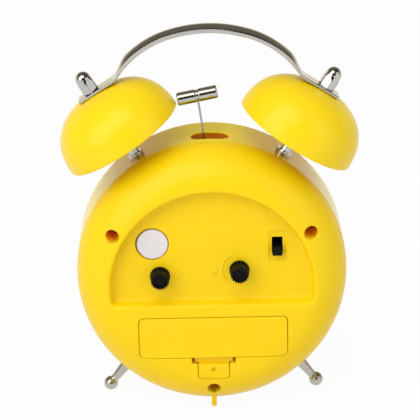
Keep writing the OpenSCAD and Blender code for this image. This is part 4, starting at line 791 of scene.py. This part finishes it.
# ---------------------------------------------------------------- case band and bezel
def make_band():
    """The drum, with rounded ends and the hammer's slot. u runs round it as a length, from the top."""
    skin = Skin()
    e_slot, e_end = 0.35, 0.22
    slot_half, slot_r = 15.0 / 2 - 8.5 / 2, 8.5 / 2

    def slot_loop(d):
        turns = [math.radians(t) for t in np.linspace(-90, 90, 17)]
        return dense([(k * (slot_half + (slot_r + d) * math.cos(t)), BELL_PLANE + k * ((slot_r + d) * math.sin(t)))
                      for k in (1, -1) for t in turns], 0.5)

    def slot_distance(x, y):
        return np.hypot(np.maximum(np.abs(x) - slot_half, 0), y - BELL_PLANE) - slot_r

    def radius(u, y):
        x = CASE_R * np.sin(u / CASE_R)
        r = CASE_R - edge_drop(slot_distance(x, y), e_slot)
        return r - edge_drop(-y, e_end) - edge_drop(y - BAND_Y, e_end)

    def point(u, y, r):
        a = u / CASE_R
        return np.stack([r * np.sin(a), y, r * np.cos(a)], -1)

    def normal(u, y, eps=SLOPE_STEP):
        a = u / CASE_R
        du = -(radius(u + eps, y) - radius(u - eps, y)) / (2 * eps)
        dy = -(radius(u, np.minimum(y + eps, 0)) - radius(u, np.maximum(y - eps, BAND_Y))) / (2 * eps)
        out = np.stack([np.sin(a), 0 * a, np.cos(a)], -1) + dy[..., None] * np.array([0, 1, 0])
        return unit(out + du[..., None] * np.stack([np.cos(a), 0 * a, -np.sin(a)], -1))
    ends = edge_steps(e_end)
    half = CASE_R * math.radians(16)  # half the width of the patch that holds the slot
    rows = sorted([-d for d in ends] + [BAND_Y + d for d in ends] + list(np.linspace(BAND_Y + 1.5, -1.5, 12)))
    a = np.linspace(half / CASE_R, 2 * math.pi - half / CASE_R, 240)
    u, y = np.meshgrid(a * CASE_R, rows)
    skin.grid(point(u, y, radius(u, y)), normal(u, y))
    # The patch round the hammer's slot
    across = np.linspace(-half, half, 22)
    border = np.array([(t, BAND_Y) for t in across] + [(half, y) for y in rows[1:-1]]
                      + [(t, 0.0) for t in np.linspace(half, -half, 22)] + [(-half, y) for y in rows[::-1][1:-1]])

    def unrolled(loop):
        return np.stack([CASE_R * np.arcsin(loop[:, 0] / CASE_R), loop[:, 1]], 1)

    def keep(p, q):
        return slot_distance(CASE_R * np.sin(p / CASE_R), q) > 0
    points = hexagonal(-half + 0.7, half - 0.7, BAND_Y + 1.0, -1.0, 1.2)
    extra = [((t, -d), 0.05) for d in ends[1:] for t in across[1:-1]]
    extra += [((t, BAND_Y + d), 0.05) for d in ends[1:] for t in across[1:-1]]
    co, tri = triangulate([border] + [unrolled(slot_loop(d)) for d in edge_steps(e_slot)], points + extra, keep)
    u, y = co.T
    skin.add(point(u, y, radius(u, y)), normal(u, y), tri.tolist())
    # The slot's wall and collar in the painted shade of material 1, and the inside of the band
    loop = slot_loop(0)
    n = line_normals(loop, True) * -1
    z = np.sqrt(CASE_R ** 2 - loop[:, 0] ** 2)
    no = np.stack([n[:, 0], n[:, 1], 0 * n[:, 0]], -1)
    collar, collar_w = 3.5, 0.7
    outer = loop - n * collar_w

    def ring(at, depth):
        return np.stack([at[:, 0], at[:, 1], z - depth], -1)
    down = np.tile([0.0, 0.0, -1.0], (len(loop), 1))
    for a, b, side in ((ring(loop, e_slot - OVERLAP), ring(loop, collar), no),
                       (ring(loop, collar), ring(outer, collar), down),
                       (ring(outer, collar), ring(outer, BAND_WALL), -no)):
        skin.grid(np.stack([a, b]), np.stack([side, side]), closed=True, mat=1)
    inner = CASE_R - BAND_WALL
    a = np.linspace(half / CASE_R, 2 * math.pi - half / CASE_R, 120)
    u, y = np.meshgrid(a * CASE_R, [BAND_Y, -1.0, 0.0])
    skin.grid(point(u, y, inner), -point(u, 0 * y, 1.0))
    co, tri = triangulate([border, unrolled(loop)], points, keep)
    u, y = co.T
    skin.add(point(u, y, inner), -point(u, 0 * y, 1.0), tri.tolist())
    # The band's end ring, seen through the cover's slit, gets the painted shade of material 1 as the seam's dark line
    spin(skin, [(inner, 0.0), (CASE_R - e_end, 0.0)], along_y(), 128, [(0, 1), (0, 1)], mat=1)
    spin(skin, [(inner, BAND_Y), (CASE_R - e_end, BAND_Y)], along_y(), 128, [(0, -1), (0, -1)])
    return skin


# Material 1 of the band paints shade into the slot and the seam
make_band().build("case_band_shell", "clock", "yellow_plastic", [M["yellow_gloss"], M["slot_painted_shade"]],
                  ["case_band"])


def make_bezel():
    skin = Skin()
    line = fillet([(47.0, FRONT_Y + 1.2), (47.0, FRONT_Y), (CASE_R, FRONT_Y), (CASE_R, BAND_Y), (50.2, BAND_Y),
                   (50.2, FRONT_Y + 1.2)],
                  [0.35, 0.5, 2.0, 0.22, 0.1, 0.1], closed=True, step=12)
    normals = line_normals(line, True)
    spin(skin, np.vstack([line, line[:1]]), along_y(), 192, np.vstack([normals, normals[:1]]))
    return skin


make_bezel().build("front_bezel_ring", "clock", "yellow_plastic", [M["yellow_gloss"]], ["front_bezel"])


# ---------------------------------------------------------------- bells, handle and nuts
def post_axis(side):
    return np.array([side * math.sin(BELL_TILT), 0.0, math.cos(BELL_TILT)])


def make_bell(side):
    """A bowl with a rounded lip, from its rim's centre up the post."""
    skin = Skin()
    rim, r, h, wall_t, power, hole = 62.9, 24.8, 21.5, 1.0, 2.4, 1.7
    e = wall_t / 2

    def curve(r, h, n=72):
        """Points and normals above the lip, in even steps of direction, which keep crown and shoulder smooth."""
        out = []
        for i in range(n + 1):
            b = math.pi / 2 * i / n
            nr, nh = math.cos(b), math.sin(b)
            # the point of a superellipse whose normal is (nr, nh)
            q = power / (power - 1)
            k = ((r * nr) ** q + (h * nh) ** q) ** (1 / power)
            x, y = r ** q * nr ** (q - 1) / k, h ** q * nh ** (q - 1) / k
            if x < hole:
                break
            out.append(((x, y), (nr, nh)))
        out.append(((hole, out[-1][0][1]), (0, 1)))
        return [row for row in out if row[0][1] >= e]
    place = along(post_axis(side), post_axis(side) * rim + np.array([0, BELL_PLANE, 0]))
    inner = [(point, (-a, -b)) for point, (a, b) in curve(r - wall_t, h - wall_t)]
    lip = [((r - e + e * math.cos(t), e + e * math.sin(t)), (math.cos(t), math.sin(t)))
           for t in np.radians(np.linspace(180, 360, 13))]
    profile, normals = zip(*(inner[::-1] + lip + curve(r, h)))
    spin(skin, profile, place, 160, normals)
    return skin


for side, node in ((-1, "bell_left"), (1, "bell_right")):
    make_bell(side).build(node + "_shell", "clock", "yellow_enamel", [M["yellow_enamel"]], [node])

CREST_R, CREST_HALF, SHOULDER_R, HANDLE_TOP = 54.0, math.radians(17.5), 40.6, 98.8
STRAP_T, STRAP_W, TAB_T, BEND_R, SEAT = 3.0, 8.0, 1.1, 8.0, 84.4
CREST_ROWS, SHOULDER_ROWS, BEND_ROWS = 11, 60, 11


def upward(a):
    """The direction that leans by a from straight up, in the bells' plane."""
    return np.array([math.sin(a), math.cos(a)])


def handle_path():
    """The handle's lower line from one end to the other: place, upward direction, thickness, flatness, half width."""
    crest_c = HANDLE_TOP - CREST_R
    drop = CREST_R - SHOULDER_R
    cx, cz = drop * math.sin(CREST_HALF), crest_c + drop * math.cos(CREST_HALF)
    strap_r = SHOULDER_R - STRAP_T + 0.08 + TAB_T / 2
    tab_mid = SEAT + TAB_T / 2
    c_along = cx * math.sin(BELL_TILT) + cz * math.cos(BELL_TILT)
    c_across = cx * math.cos(BELL_TILT) - cz * math.sin(BELL_TILT)
    turn = math.acos((tab_mid + BEND_R - c_along) / (strap_r + BEND_R))
    end_a = BELL_TILT + turn
    shoulder_c, crest_c = np.array([cx, cz]), np.array([0, crest_c])
    bend_c = shoulder_c + upward(end_a) * (strap_r + BEND_R)
    low = []
    for angles, centre, r in ((np.linspace(0, CREST_HALF, CREST_ROWS + 1)[:-1], crest_c, CREST_R - STRAP_T),
                              (np.linspace(CREST_HALF, end_a, SHOULDER_ROWS), shoulder_c, SHOULDER_R - STRAP_T + 0.04),
                              (np.linspace(end_a, BELL_TILT, BEND_ROWS + 1)[1:], bend_c, -(BEND_R + TAB_T / 2))):
        low += [(centre + upward(a) * r, upward(a)) for a in angles]
    n = upward(BELL_TILT)
    across = np.array([n[1], -n[0]])
    start = c_across + (strap_r + BEND_R) * math.sin(turn)
    tab_end, corner_r = 6.0, 1.0
    steps = list(np.linspace(start, tab_end - corner_r, 10)[1:])
    steps += [tab_end - corner_r + math.sin(b) for b in np.radians([20, 40, 60, 75, 85, 90])]
    low += [(n * SEAT + across * t, n) for t in steps]
    pts = np.array([p for p, _ in low])
    length = np.concatenate([[0], np.cumsum(np.linalg.norm(np.diff(pts, axis=0), axis=1))])
    bend_at = length[CREST_ROWS + SHOULDER_ROWS - 1]
    rows = []
    for (p, n), s in zip(low, length):
        k = float(smooth(np.array((s - (bend_at - 9.0)) / 9.5)))  # from the strap's section, 0, to the tab's, 1
        left = length[-1] - s
        half = STRAP_W / 2 * (1 - k) + (STRAP_W / 2 - 0.08) * k
        if left < corner_r:
            half -= corner_r - math.sqrt(max(0.0, corner_r ** 2 - (corner_r - left) ** 2))
        rows.append((p, n, STRAP_T * (1 - k) + TAB_T * k, 1 - k, half))
    return rows


def make_handle():
    """A strap with a crowned top, thinning to a flat tab at both ends."""
    skin = Skin()
    rows = handle_path()
    rows = [(p * [-1, 1], n * [-1, 1], *more) for p, n, *more in rows[:0:-1]] + rows
    edge, crown = 0.35, 1.5
    co, no = [], []
    for p, n, t, c, half in rows:
        e = min(edge, (t - crown * c) * 0.45)
        r = ((half ** 2 + (crown * c) ** 2) / (2 * crown * c)) if c > 0.01 else 1e4
        top = [(v, t - (r - math.sqrt(r * r - v * v))) for v in np.linspace(half, -half, 25)]
        line = fillet([(-half, 0.0), (half, 0.0)] + top, [e, e, e * 0.9] + [0] * 23 + [e * 0.9], count=4)
        nor = line_normals(line, True)
        up = np.array([n[0], 0.0, n[1]])
        base = np.array([p[0], BELL_PLANE, p[1]])
        co.append([base + up * q[1] + np.array([0, q[0], 0]) for q in line])
        no.append([up * q[1] + np.array([0, q[0], 0]) for q in nor])
    skin.grid(np.array(co), np.array(no), closed=True)
    skin.fan(co[0], (-math.cos(BELL_TILT), 0, -math.sin(BELL_TILT)))
    skin.fan(co[-1], (math.cos(BELL_TILT), 0, -math.sin(BELL_TILT)))
    return skin


make_handle().build("handle_strap", "clock", "chrome_plate", [M["chrome_plate"]], ["handle"])


def make_nuts():
    """Two acorn nuts: a hexagon with softened corners under a long dome."""
    skin = Skin()
    flats, h, dome_r = 6.3 / 2, 5.9, 3.1
    a = np.linspace(0, 2 * math.pi, 144, endpoint=False)
    fold = np.abs((a + math.pi / 6) % (math.pi / 3) - math.pi / 6)
    hexa = np.minimum(flats / np.cos(fold), flats / math.cos(math.pi / 6) * 0.965)
    ring = np.full(a.shape, dome_r)

    def shape(z):
        if z <= h:
            base = min(1.0, z / 0.5)
            k = smooth(np.array((z - 0.62 * h) / (0.38 * h)))
            low = 1 - 0.06 * (1 - base) ** 2
            return (hexa * (1 - k) + ring * k) * low
        return np.full(a.shape, math.sqrt(max(dome_r ** 2 - (z - h) ** 2, 0)))
    heights = [0.0, 0.12, 0.25, 0.5] + list(np.linspace(0.9, h, 22))
    heights += [h + dome_r * math.sin(b) for b in np.radians(np.linspace(5, 89, 18))]
    rows = np.array([np.stack([shape(z) * np.cos(a), shape(z) * np.sin(a), z + 0 * a], -1) for z in heights])
    nor = row_normals(rows)
    for side in (-1, 1):
        seat = post_axis(side) * (SEAT + TAB_T) + np.array([0, BELL_PLANE, 0])
        place = along(post_axis(side), seat, (0.5, 0.87, 0))
        co, no = place(rows), place(nor, True)
        skin.grid(co, no, closed=True)
        skin.fan(co[-1], post_axis(side))
        skin.fan(co[0], -post_axis(side))
    return skin


make_nuts().build("acorn_nut_pair", "clock", "chrome_plate", [M["chrome_plate"]], ["acorn_nuts"])


# ---------------------------------------------------------------- feet
def make_foot(side):
    skin = Skin()
    """A tapered leg from inside the band to a ball, which is cut flat where it stands."""
    ball, flat = 2.85, 0.25
    at = (-GROUND - (ball - flat)) / math.cos(FOOT_TILT)
    axis = np.array([side * math.sin(FOOT_TILT), 0, -math.cos(FOOT_TILT)])
    line = [(1.4, CASE_R - 5.4), (1.4, CASE_R - 0.6), (2.5, CASE_R - 0.6), (2.5, CASE_R + 0.3), (2.4, CASE_R + 0.7)]
    neck = at - math.sqrt(ball ** 2 - 1.6 ** 2)
    line += [(2.4 + (1.6 - 2.4) * t, CASE_R + 0.7 + (neck - CASE_R - 0.7) * t) for t in np.linspace(0.1, 0.93, 10)]
    a0 = math.asin(1.75 / ball)
    line += [(ball * math.sin(a), at - ball * math.cos(a)) for a in np.linspace(a0, math.pi - 0.01, 40)]
    spin(skin, line, along(axis, (0, FOOT_PLANE, 0)), 72, floor=GROUND)
    return skin


for node in ("foot_left", "foot_right"):
    low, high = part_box(node)
    side = 1 if low.x + high.x > 0 else -1
    make_foot(side).build(node + "_leg", "clock", "chrome_plate", [M["satin_nickel"]], [node])


# ---------------------------------------------------------------- hammer head
def make_head():
    skin = Skin()
    """A drum across the end of the wire, with a groove round its middle."""
    lean, tilt = math.radians(8.1), math.radians(3.0)
    head_z, pivot_z = 69.9, 38.0
    wire = (head_z - pivot_z) / math.cos(lean)
    centre = np.array([wire * math.sin(lean), BELL_PLANE, pivot_z + wire * math.cos(lean)])
    a = lean + tilt + math.pi / 2
    axis = np.array([math.sin(a), 0, math.cos(a)])
    half, r, c = 8.0, 2.6, 0.5
    line = [(0.35, -half + 0.12), (1.2, -half + 0.04), (r - c - 0.1, -half), (r - c, -half),
            (r - c * 0.35, -half + c * 0.2), (r - 0.06, -half + c * 0.75), (r, -half + c * 1.2), (r, -1.0),
            (r - 0.02, -0.72), (r - 0.14, -0.58), (r - 0.28, -0.5), (r - 0.3, -0.42)]
    line = np.array(line + [(p, -q) for p, q in line[::-1]])
    spin(skin, line, along(axis, centre), 96)
    for k, z in ((0, -half + 0.12), (1, half - 0.12)):
        ring = [centre + axis * z + 0.35 * (math.cos(t) * np.array([0, 1, 0]) + math.sin(t) * np.cross(axis, [0, 1, 0]))
                for t in np.linspace(0, 2 * math.pi, 24, endpoint=False)]
        skin.fan(ring, axis * (1 if k else -1))
    return skin


make_head().build("hammer_head_drum", "hammer", "chrome_plate", [M["chrome_plate"]], ["hammer_head"])


# ---------------------------------------------------------------- knobs, button and switch lever
def make_knob(at):
    """A ribbed knob on a round collar."""
    skin = Skin()
    y0, length, ribs = 12.6, 6.6, 18
    collar_r, body_r, groove = 3.95, 3.62, 0.5
    a = np.linspace(0, 2 * math.pi, ribs * 14, endpoint=False)
    tooth = smooth((np.cos(a * ribs) + 0.25) / 0.8)

    def ribbed(inset, depth):
        return body_r - inset - groove * depth * (1 - tooth)
    rows = [(0.0, collar_r - 0.15), (0.06, collar_r - 0.04), (0.18, collar_r), (0.95, collar_r),
            (1.1, collar_r - 0.05), (1.2, collar_r - 0.2)]
    rows += [(y, ribbed(inset, depth)) for y, inset, depth in (
        (1.22, 0.0, 0.3), (1.3, 0.0, 0.9), (1.5, 0.0, 1.0), (3.5, 0.02, 1.0), (5.8, 0.04, 1.0), (6.3, 0.06, 1.0),
        (6.5, 0.16, 0.95), (6.6, 0.34, 0.8))]
    rows = [(y0 + y, r) for y, r in rows]
    # The end face, with a shallow dish
    rows += [(y0 + length - y, r) for y, r in ((0.0, 2.75), (0.04, 2.62), (0.2, 2.5), (0.9, 2.42), (1.1, 2.3),
                                               (1.15, 1.5), (1.05, 1.4), (0.9, 1.2), (0.86, 0.2))]
    co = np.array([np.stack([at[0] + r * np.cos(a), y + 0 * a, at[1] + r * np.sin(a)], -1) for y, r in rows])
    no = -row_normals(co)
    skin.grid(co, no, closed=True)
    skin.fan(co[-1], (0, 1, 0))
    skin.fan(co[0], (0, -1, 0))
    return skin


make_knob(TIME_KNOB).build("time_knob_cap", "time_setter", "black_plastic", [M["black_plastic"]], ["time_knob"])
make_knob(ALARM_KNOB).build("alarm_knob_cap", "alarm_setter", "black_plastic", [M["black_plastic"]], ["alarm_knob"])


def make_button():
    """A flat disc with a flange behind the cover."""
    skin = Skin()
    x, z = BUTTON[0] - 0.2, BUTTON[1]
    top, r = PAN_Y + 0.3, 6.05
    line = [(0.05, top), (3.0, top - 0.01), (5.0, top - 0.05), (5.4, top - 0.08)]
    line += [(r - 0.45 + 0.45 * math.sin(t), top - 0.53 + 0.45 * math.cos(t))
             for t in np.radians([10, 30, 50, 70, 90])]
    line += [(r, PAN_Y - 1.9), (r, PAN_Y - 2.1), (r + 0.65, PAN_Y - 2.1), (r + 0.65, PAN_Y - 3.0),
             (r - 1.0, PAN_Y - 3.0), (r - 1.0, top - 1.0), (0.05, top - 1.0)]
    spin(skin, line[::-1], along_y(x, z), 96)
    return skin


make_button().build("light_button_cap", "light_button", "lilac_plastic", [M["lilac_plastic"]], ["light_button"])


# ---------------------------------------------------------------- dial print
DIAL_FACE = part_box("dial")[0].y * 1000 - ORIGIN[1]


def minute_marks():
    """Thin printed bars, thicker and longer at the hours."""
    skin = Skin()
    y1, y0 = DIAL_FACE, DIAL_FACE - 0.05
    for i in range(60):
        r0, w = (43.0, 0.55) if i % 5 == 0 else (44.2, 0.16)
        s, c = math.sin(math.radians(6 * i)), math.cos(math.radians(6 * i))
        # seen from the front, x runs to the right
        loop = np.array([[r * s + k * w * c, r * c - k * w * s]
                         for r, k in ((r0, -1), (r0, 1), (46.2, 1), (46.2, -1))])
        wall(skin, loop, y1, y0, -1)
        flat_between(skin, loop, None, y0, -1)
    return skin


minute_marks().build("dial_minute_marks", "clock", "black_hand", [M["dial_ink"]])

NUMBERS_R = 0.0355
for hour in range(1, 13):
    text = bpy.data.curves.new(f"dial_number_{hour}", "FONT")
    text.body = str(hour)
    text.size = 0.0112
    text.extrude = 0.00003
    text.offset = 0.00012
    text.align_x, text.align_y = "CENTER", "CENTER"
    text.resolution_u = 6
    text.space_character = 0.9
    obj = bpy.data.objects.new(text.name, text)
    a = math.radians(30 * hour)
    obj.location = (NUMBERS_R * math.sin(a), (DIAL_FACE + ORIGIN[1] - 0.03) / 1000,
                    NUMBERS_R * math.cos(a) + ORIGIN[2] / 1000)
    obj.rotation_euler = (math.pi / 2, 0, 0)
    bpy.context.scene.collection.objects.link(obj)
    bpy.context.view_layer.update()
    mesh = bpy.data.meshes.new_from_object(obj.evaluated_get(bpy.context.evaluated_depsgraph_get()))
    mesh.name = text.name
    printed = bpy.data.objects.new(text.name, mesh)
    printed.matrix_world = obj.matrix_world.copy()
    bpy.data.objects.remove(obj)
    mesh.transform(printed.matrix_world)
    printed.matrix_world.identity()
    mesh.materials.clear()
    mesh.materials.append(M["dial_ink"])
    bpy.context.scene.collection.objects.link(printed)
    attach(printed, "clock")


# ---------------------------------------------------------------- stage, light and camera
def stage_floor():
    mesh = bpy.data.meshes.new("studio_floor")
    n, reach = 24, 4.0
    co = [(reach * (2 * i / n - 1), reach * (2 * j / n - 1), -0.00005) for j in range(n + 1) for i in range(n + 1)]
    mesh.from_pydata(co, [], [(j * (n + 1) + i, j * (n + 1) + i + 1, (j + 1) * (n + 1) + i + 1, (j + 1) * (n + 1) + i)
                              for j in range(n) for i in range(n)])
    obj = bpy.data.objects.new("studio_floor", mesh)
    bpy.context.scene.collection.objects.link(obj)
    m, t, s = nodes_of("floor_paper")
    s.inputs["Base Color"].default_value = (0.82, 0.82, 0.82, 1)
    s.inputs["Roughness"].default_value = 0.9
    s.inputs["Specular IOR Level"].default_value = 0.1
    path = t.nodes.new("ShaderNodeLightPath").outputs
    seen = math_node(t, "MAXIMUM", path["Is Camera Ray"], path["Is Transmission Ray"])
    seen = math_node(t, "MAXIMUM", seen, path["Is Glossy Ray"])
    glow = t.nodes.new("ShaderNodeEmission")
    glow.inputs["Color"].default_value = (1, 1, 1, 1)
    glow.inputs["Strength"].default_value = 1.0
    mixer = t.nodes.new("ShaderNodeMixShader")
    t.links.new(math_node(t, "MULTIPLY", seen, 0.95), mixer.inputs["Fac"])
    t.links.new(s.outputs["BSDF"], mixer.inputs[1])
    t.links.new(glow.outputs["Emission"], mixer.inputs[2])
    t.links.new(mixer.outputs["Shader"], t.nodes["Material Output"].inputs["Surface"])
    mesh.materials.append(m)


stage_floor()


def studio_world():
    """White behind the object, a dim room behind the camera that only reflections see, and an even soft light."""
    world = bpy.data.worlds.new("studio")
    bpy.context.scene.world = world
    world.use_nodes = True
    t = world.node_tree
    path = t.nodes.new("ShaderNodeLightPath").outputs
    direction = t.nodes.new("ShaderNodeSeparateXYZ")
    t.links.new(t.nodes.new("ShaderNodeTexCoord").outputs["Generated"], direction.inputs[0])

    def ramp(axis, start, end, low, high):
        return spread(t, direction.outputs[axis], low, high, start, end, "SMOOTHSTEP")
    behind = ramp("Y", 0.25, -0.35, 0.0, 1.0)
    low = ramp("Z", 0.08, 0.55, 1.0, 0.20)
    mirrored = math_node(t, "MAXIMUM", math_node(t, "MULTIPLY", behind, low), 0.03)
    side = ramp("X", -0.9, 0.9, 0.34, 0.44)
    sky = ramp("Z", 0.2, 1.0, 0.0, 0.35)
    diffuse = math_node(t, "SUBTRACT", 1.0, path["Is Glossy Ray"])
    level = math_node(t, "MULTIPLY", math_node(t, "ADD", side, sky), diffuse)
    level = math_node(t, "ADD", level, math_node(t, "MULTIPLY", mirrored, path["Is Glossy Ray"]))
    seen = math_node(t, "MAXIMUM", path["Is Camera Ray"], path["Is Transmission Ray"])
    t.links.new(math_node(t, "MAXIMUM", level, seen), t.nodes["Background"].inputs["Strength"])
    colour = blend_colours(t, path["Is Glossy Ray"], (1.0, 1.0, 1.0), (1.0, 0.92, 0.70), 0.0, 1.0)
    t.links.new(colour, t.nodes["Background"].inputs["Color"])


studio_world()


def lamp(name, at, size, power, aim=(0, 0, 0.08)):
    data = bpy.data.lights.new(name, "AREA")
    data.shape = "RECTANGLE"
    data.size, data.size_y = size
    data.energy = power
    obj = bpy.data.objects.new(name, data)
    obj.location = at
    obj.rotation_euler = (Vector(aim) - Vector(at)).to_track_quat("-Z", "Y").to_euler()
    bpy.context.scene.collection.objects.link(obj)


lamp("key", (0.80, 0.75, 0.55), (0.9, 0.9), 5.8)
lamp("fill", (-0.85, 0.60, 0.40), (0.9, 0.9), 2.5)
lamp("top", (0.2, 0.50, 0.90), (0.8, 0.6), 3.2)

# The camera, at the photograph's angle
FOCAL, DISTANCE = 2283.4, 900.0
PICTURE, SENSOR = 420, 36
ELEV, YAW, ROLL = math.radians(19.09), math.radians(0.5), math.radians(0.97)
AIM_X, AIM_Z = -0.36, 24.84


def seen_from_rear(v):
    """From the fit's axes (right, towards the camera, up, turned by the yaw) to the scene's axes."""
    x = v[0] * math.cos(YAW) - v[1] * math.sin(YAW)
    y = v[0] * math.sin(YAW) + v[1] * math.cos(YAW)
    return np.array([-x, y, v[2]])


right = seen_from_rear((1, 0, 0))
up = seen_from_rear((0, -math.sin(ELEV), math.cos(ELEV)))
back = seen_from_rear((0, math.cos(ELEV), math.sin(ELEV)))
aim = seen_from_rear((AIM_X, 0, AIM_Z)) + ORIGIN
pic_right = right * math.cos(ROLL) - up * math.sin(ROLL)
pic_up = right * math.sin(ROLL) + up * math.cos(ROLL)
camera = bpy.data.cameras.new("camera")
camera.sensor_width = SENSOR
camera.lens = FOCAL / PICTURE * SENSOR
camera.clip_start, camera.clip_end = 0.01, 50
cam = bpy.data.objects.new("camera", camera)
m = Matrix([(*[float(c) for c in row], 0) for row in np.stack([pic_right, pic_up, back], 1)] + [(0, 0, 0, 1)])
m.translation = Vector(((aim + back * DISTANCE) / 1000).tolist())
cam.matrix_world = m
bpy.context.scene.collection.objects.link(cam)
bpy.context.scene.camera = cam
bpy.context.scene.view_settings.view_transform = "Standard"
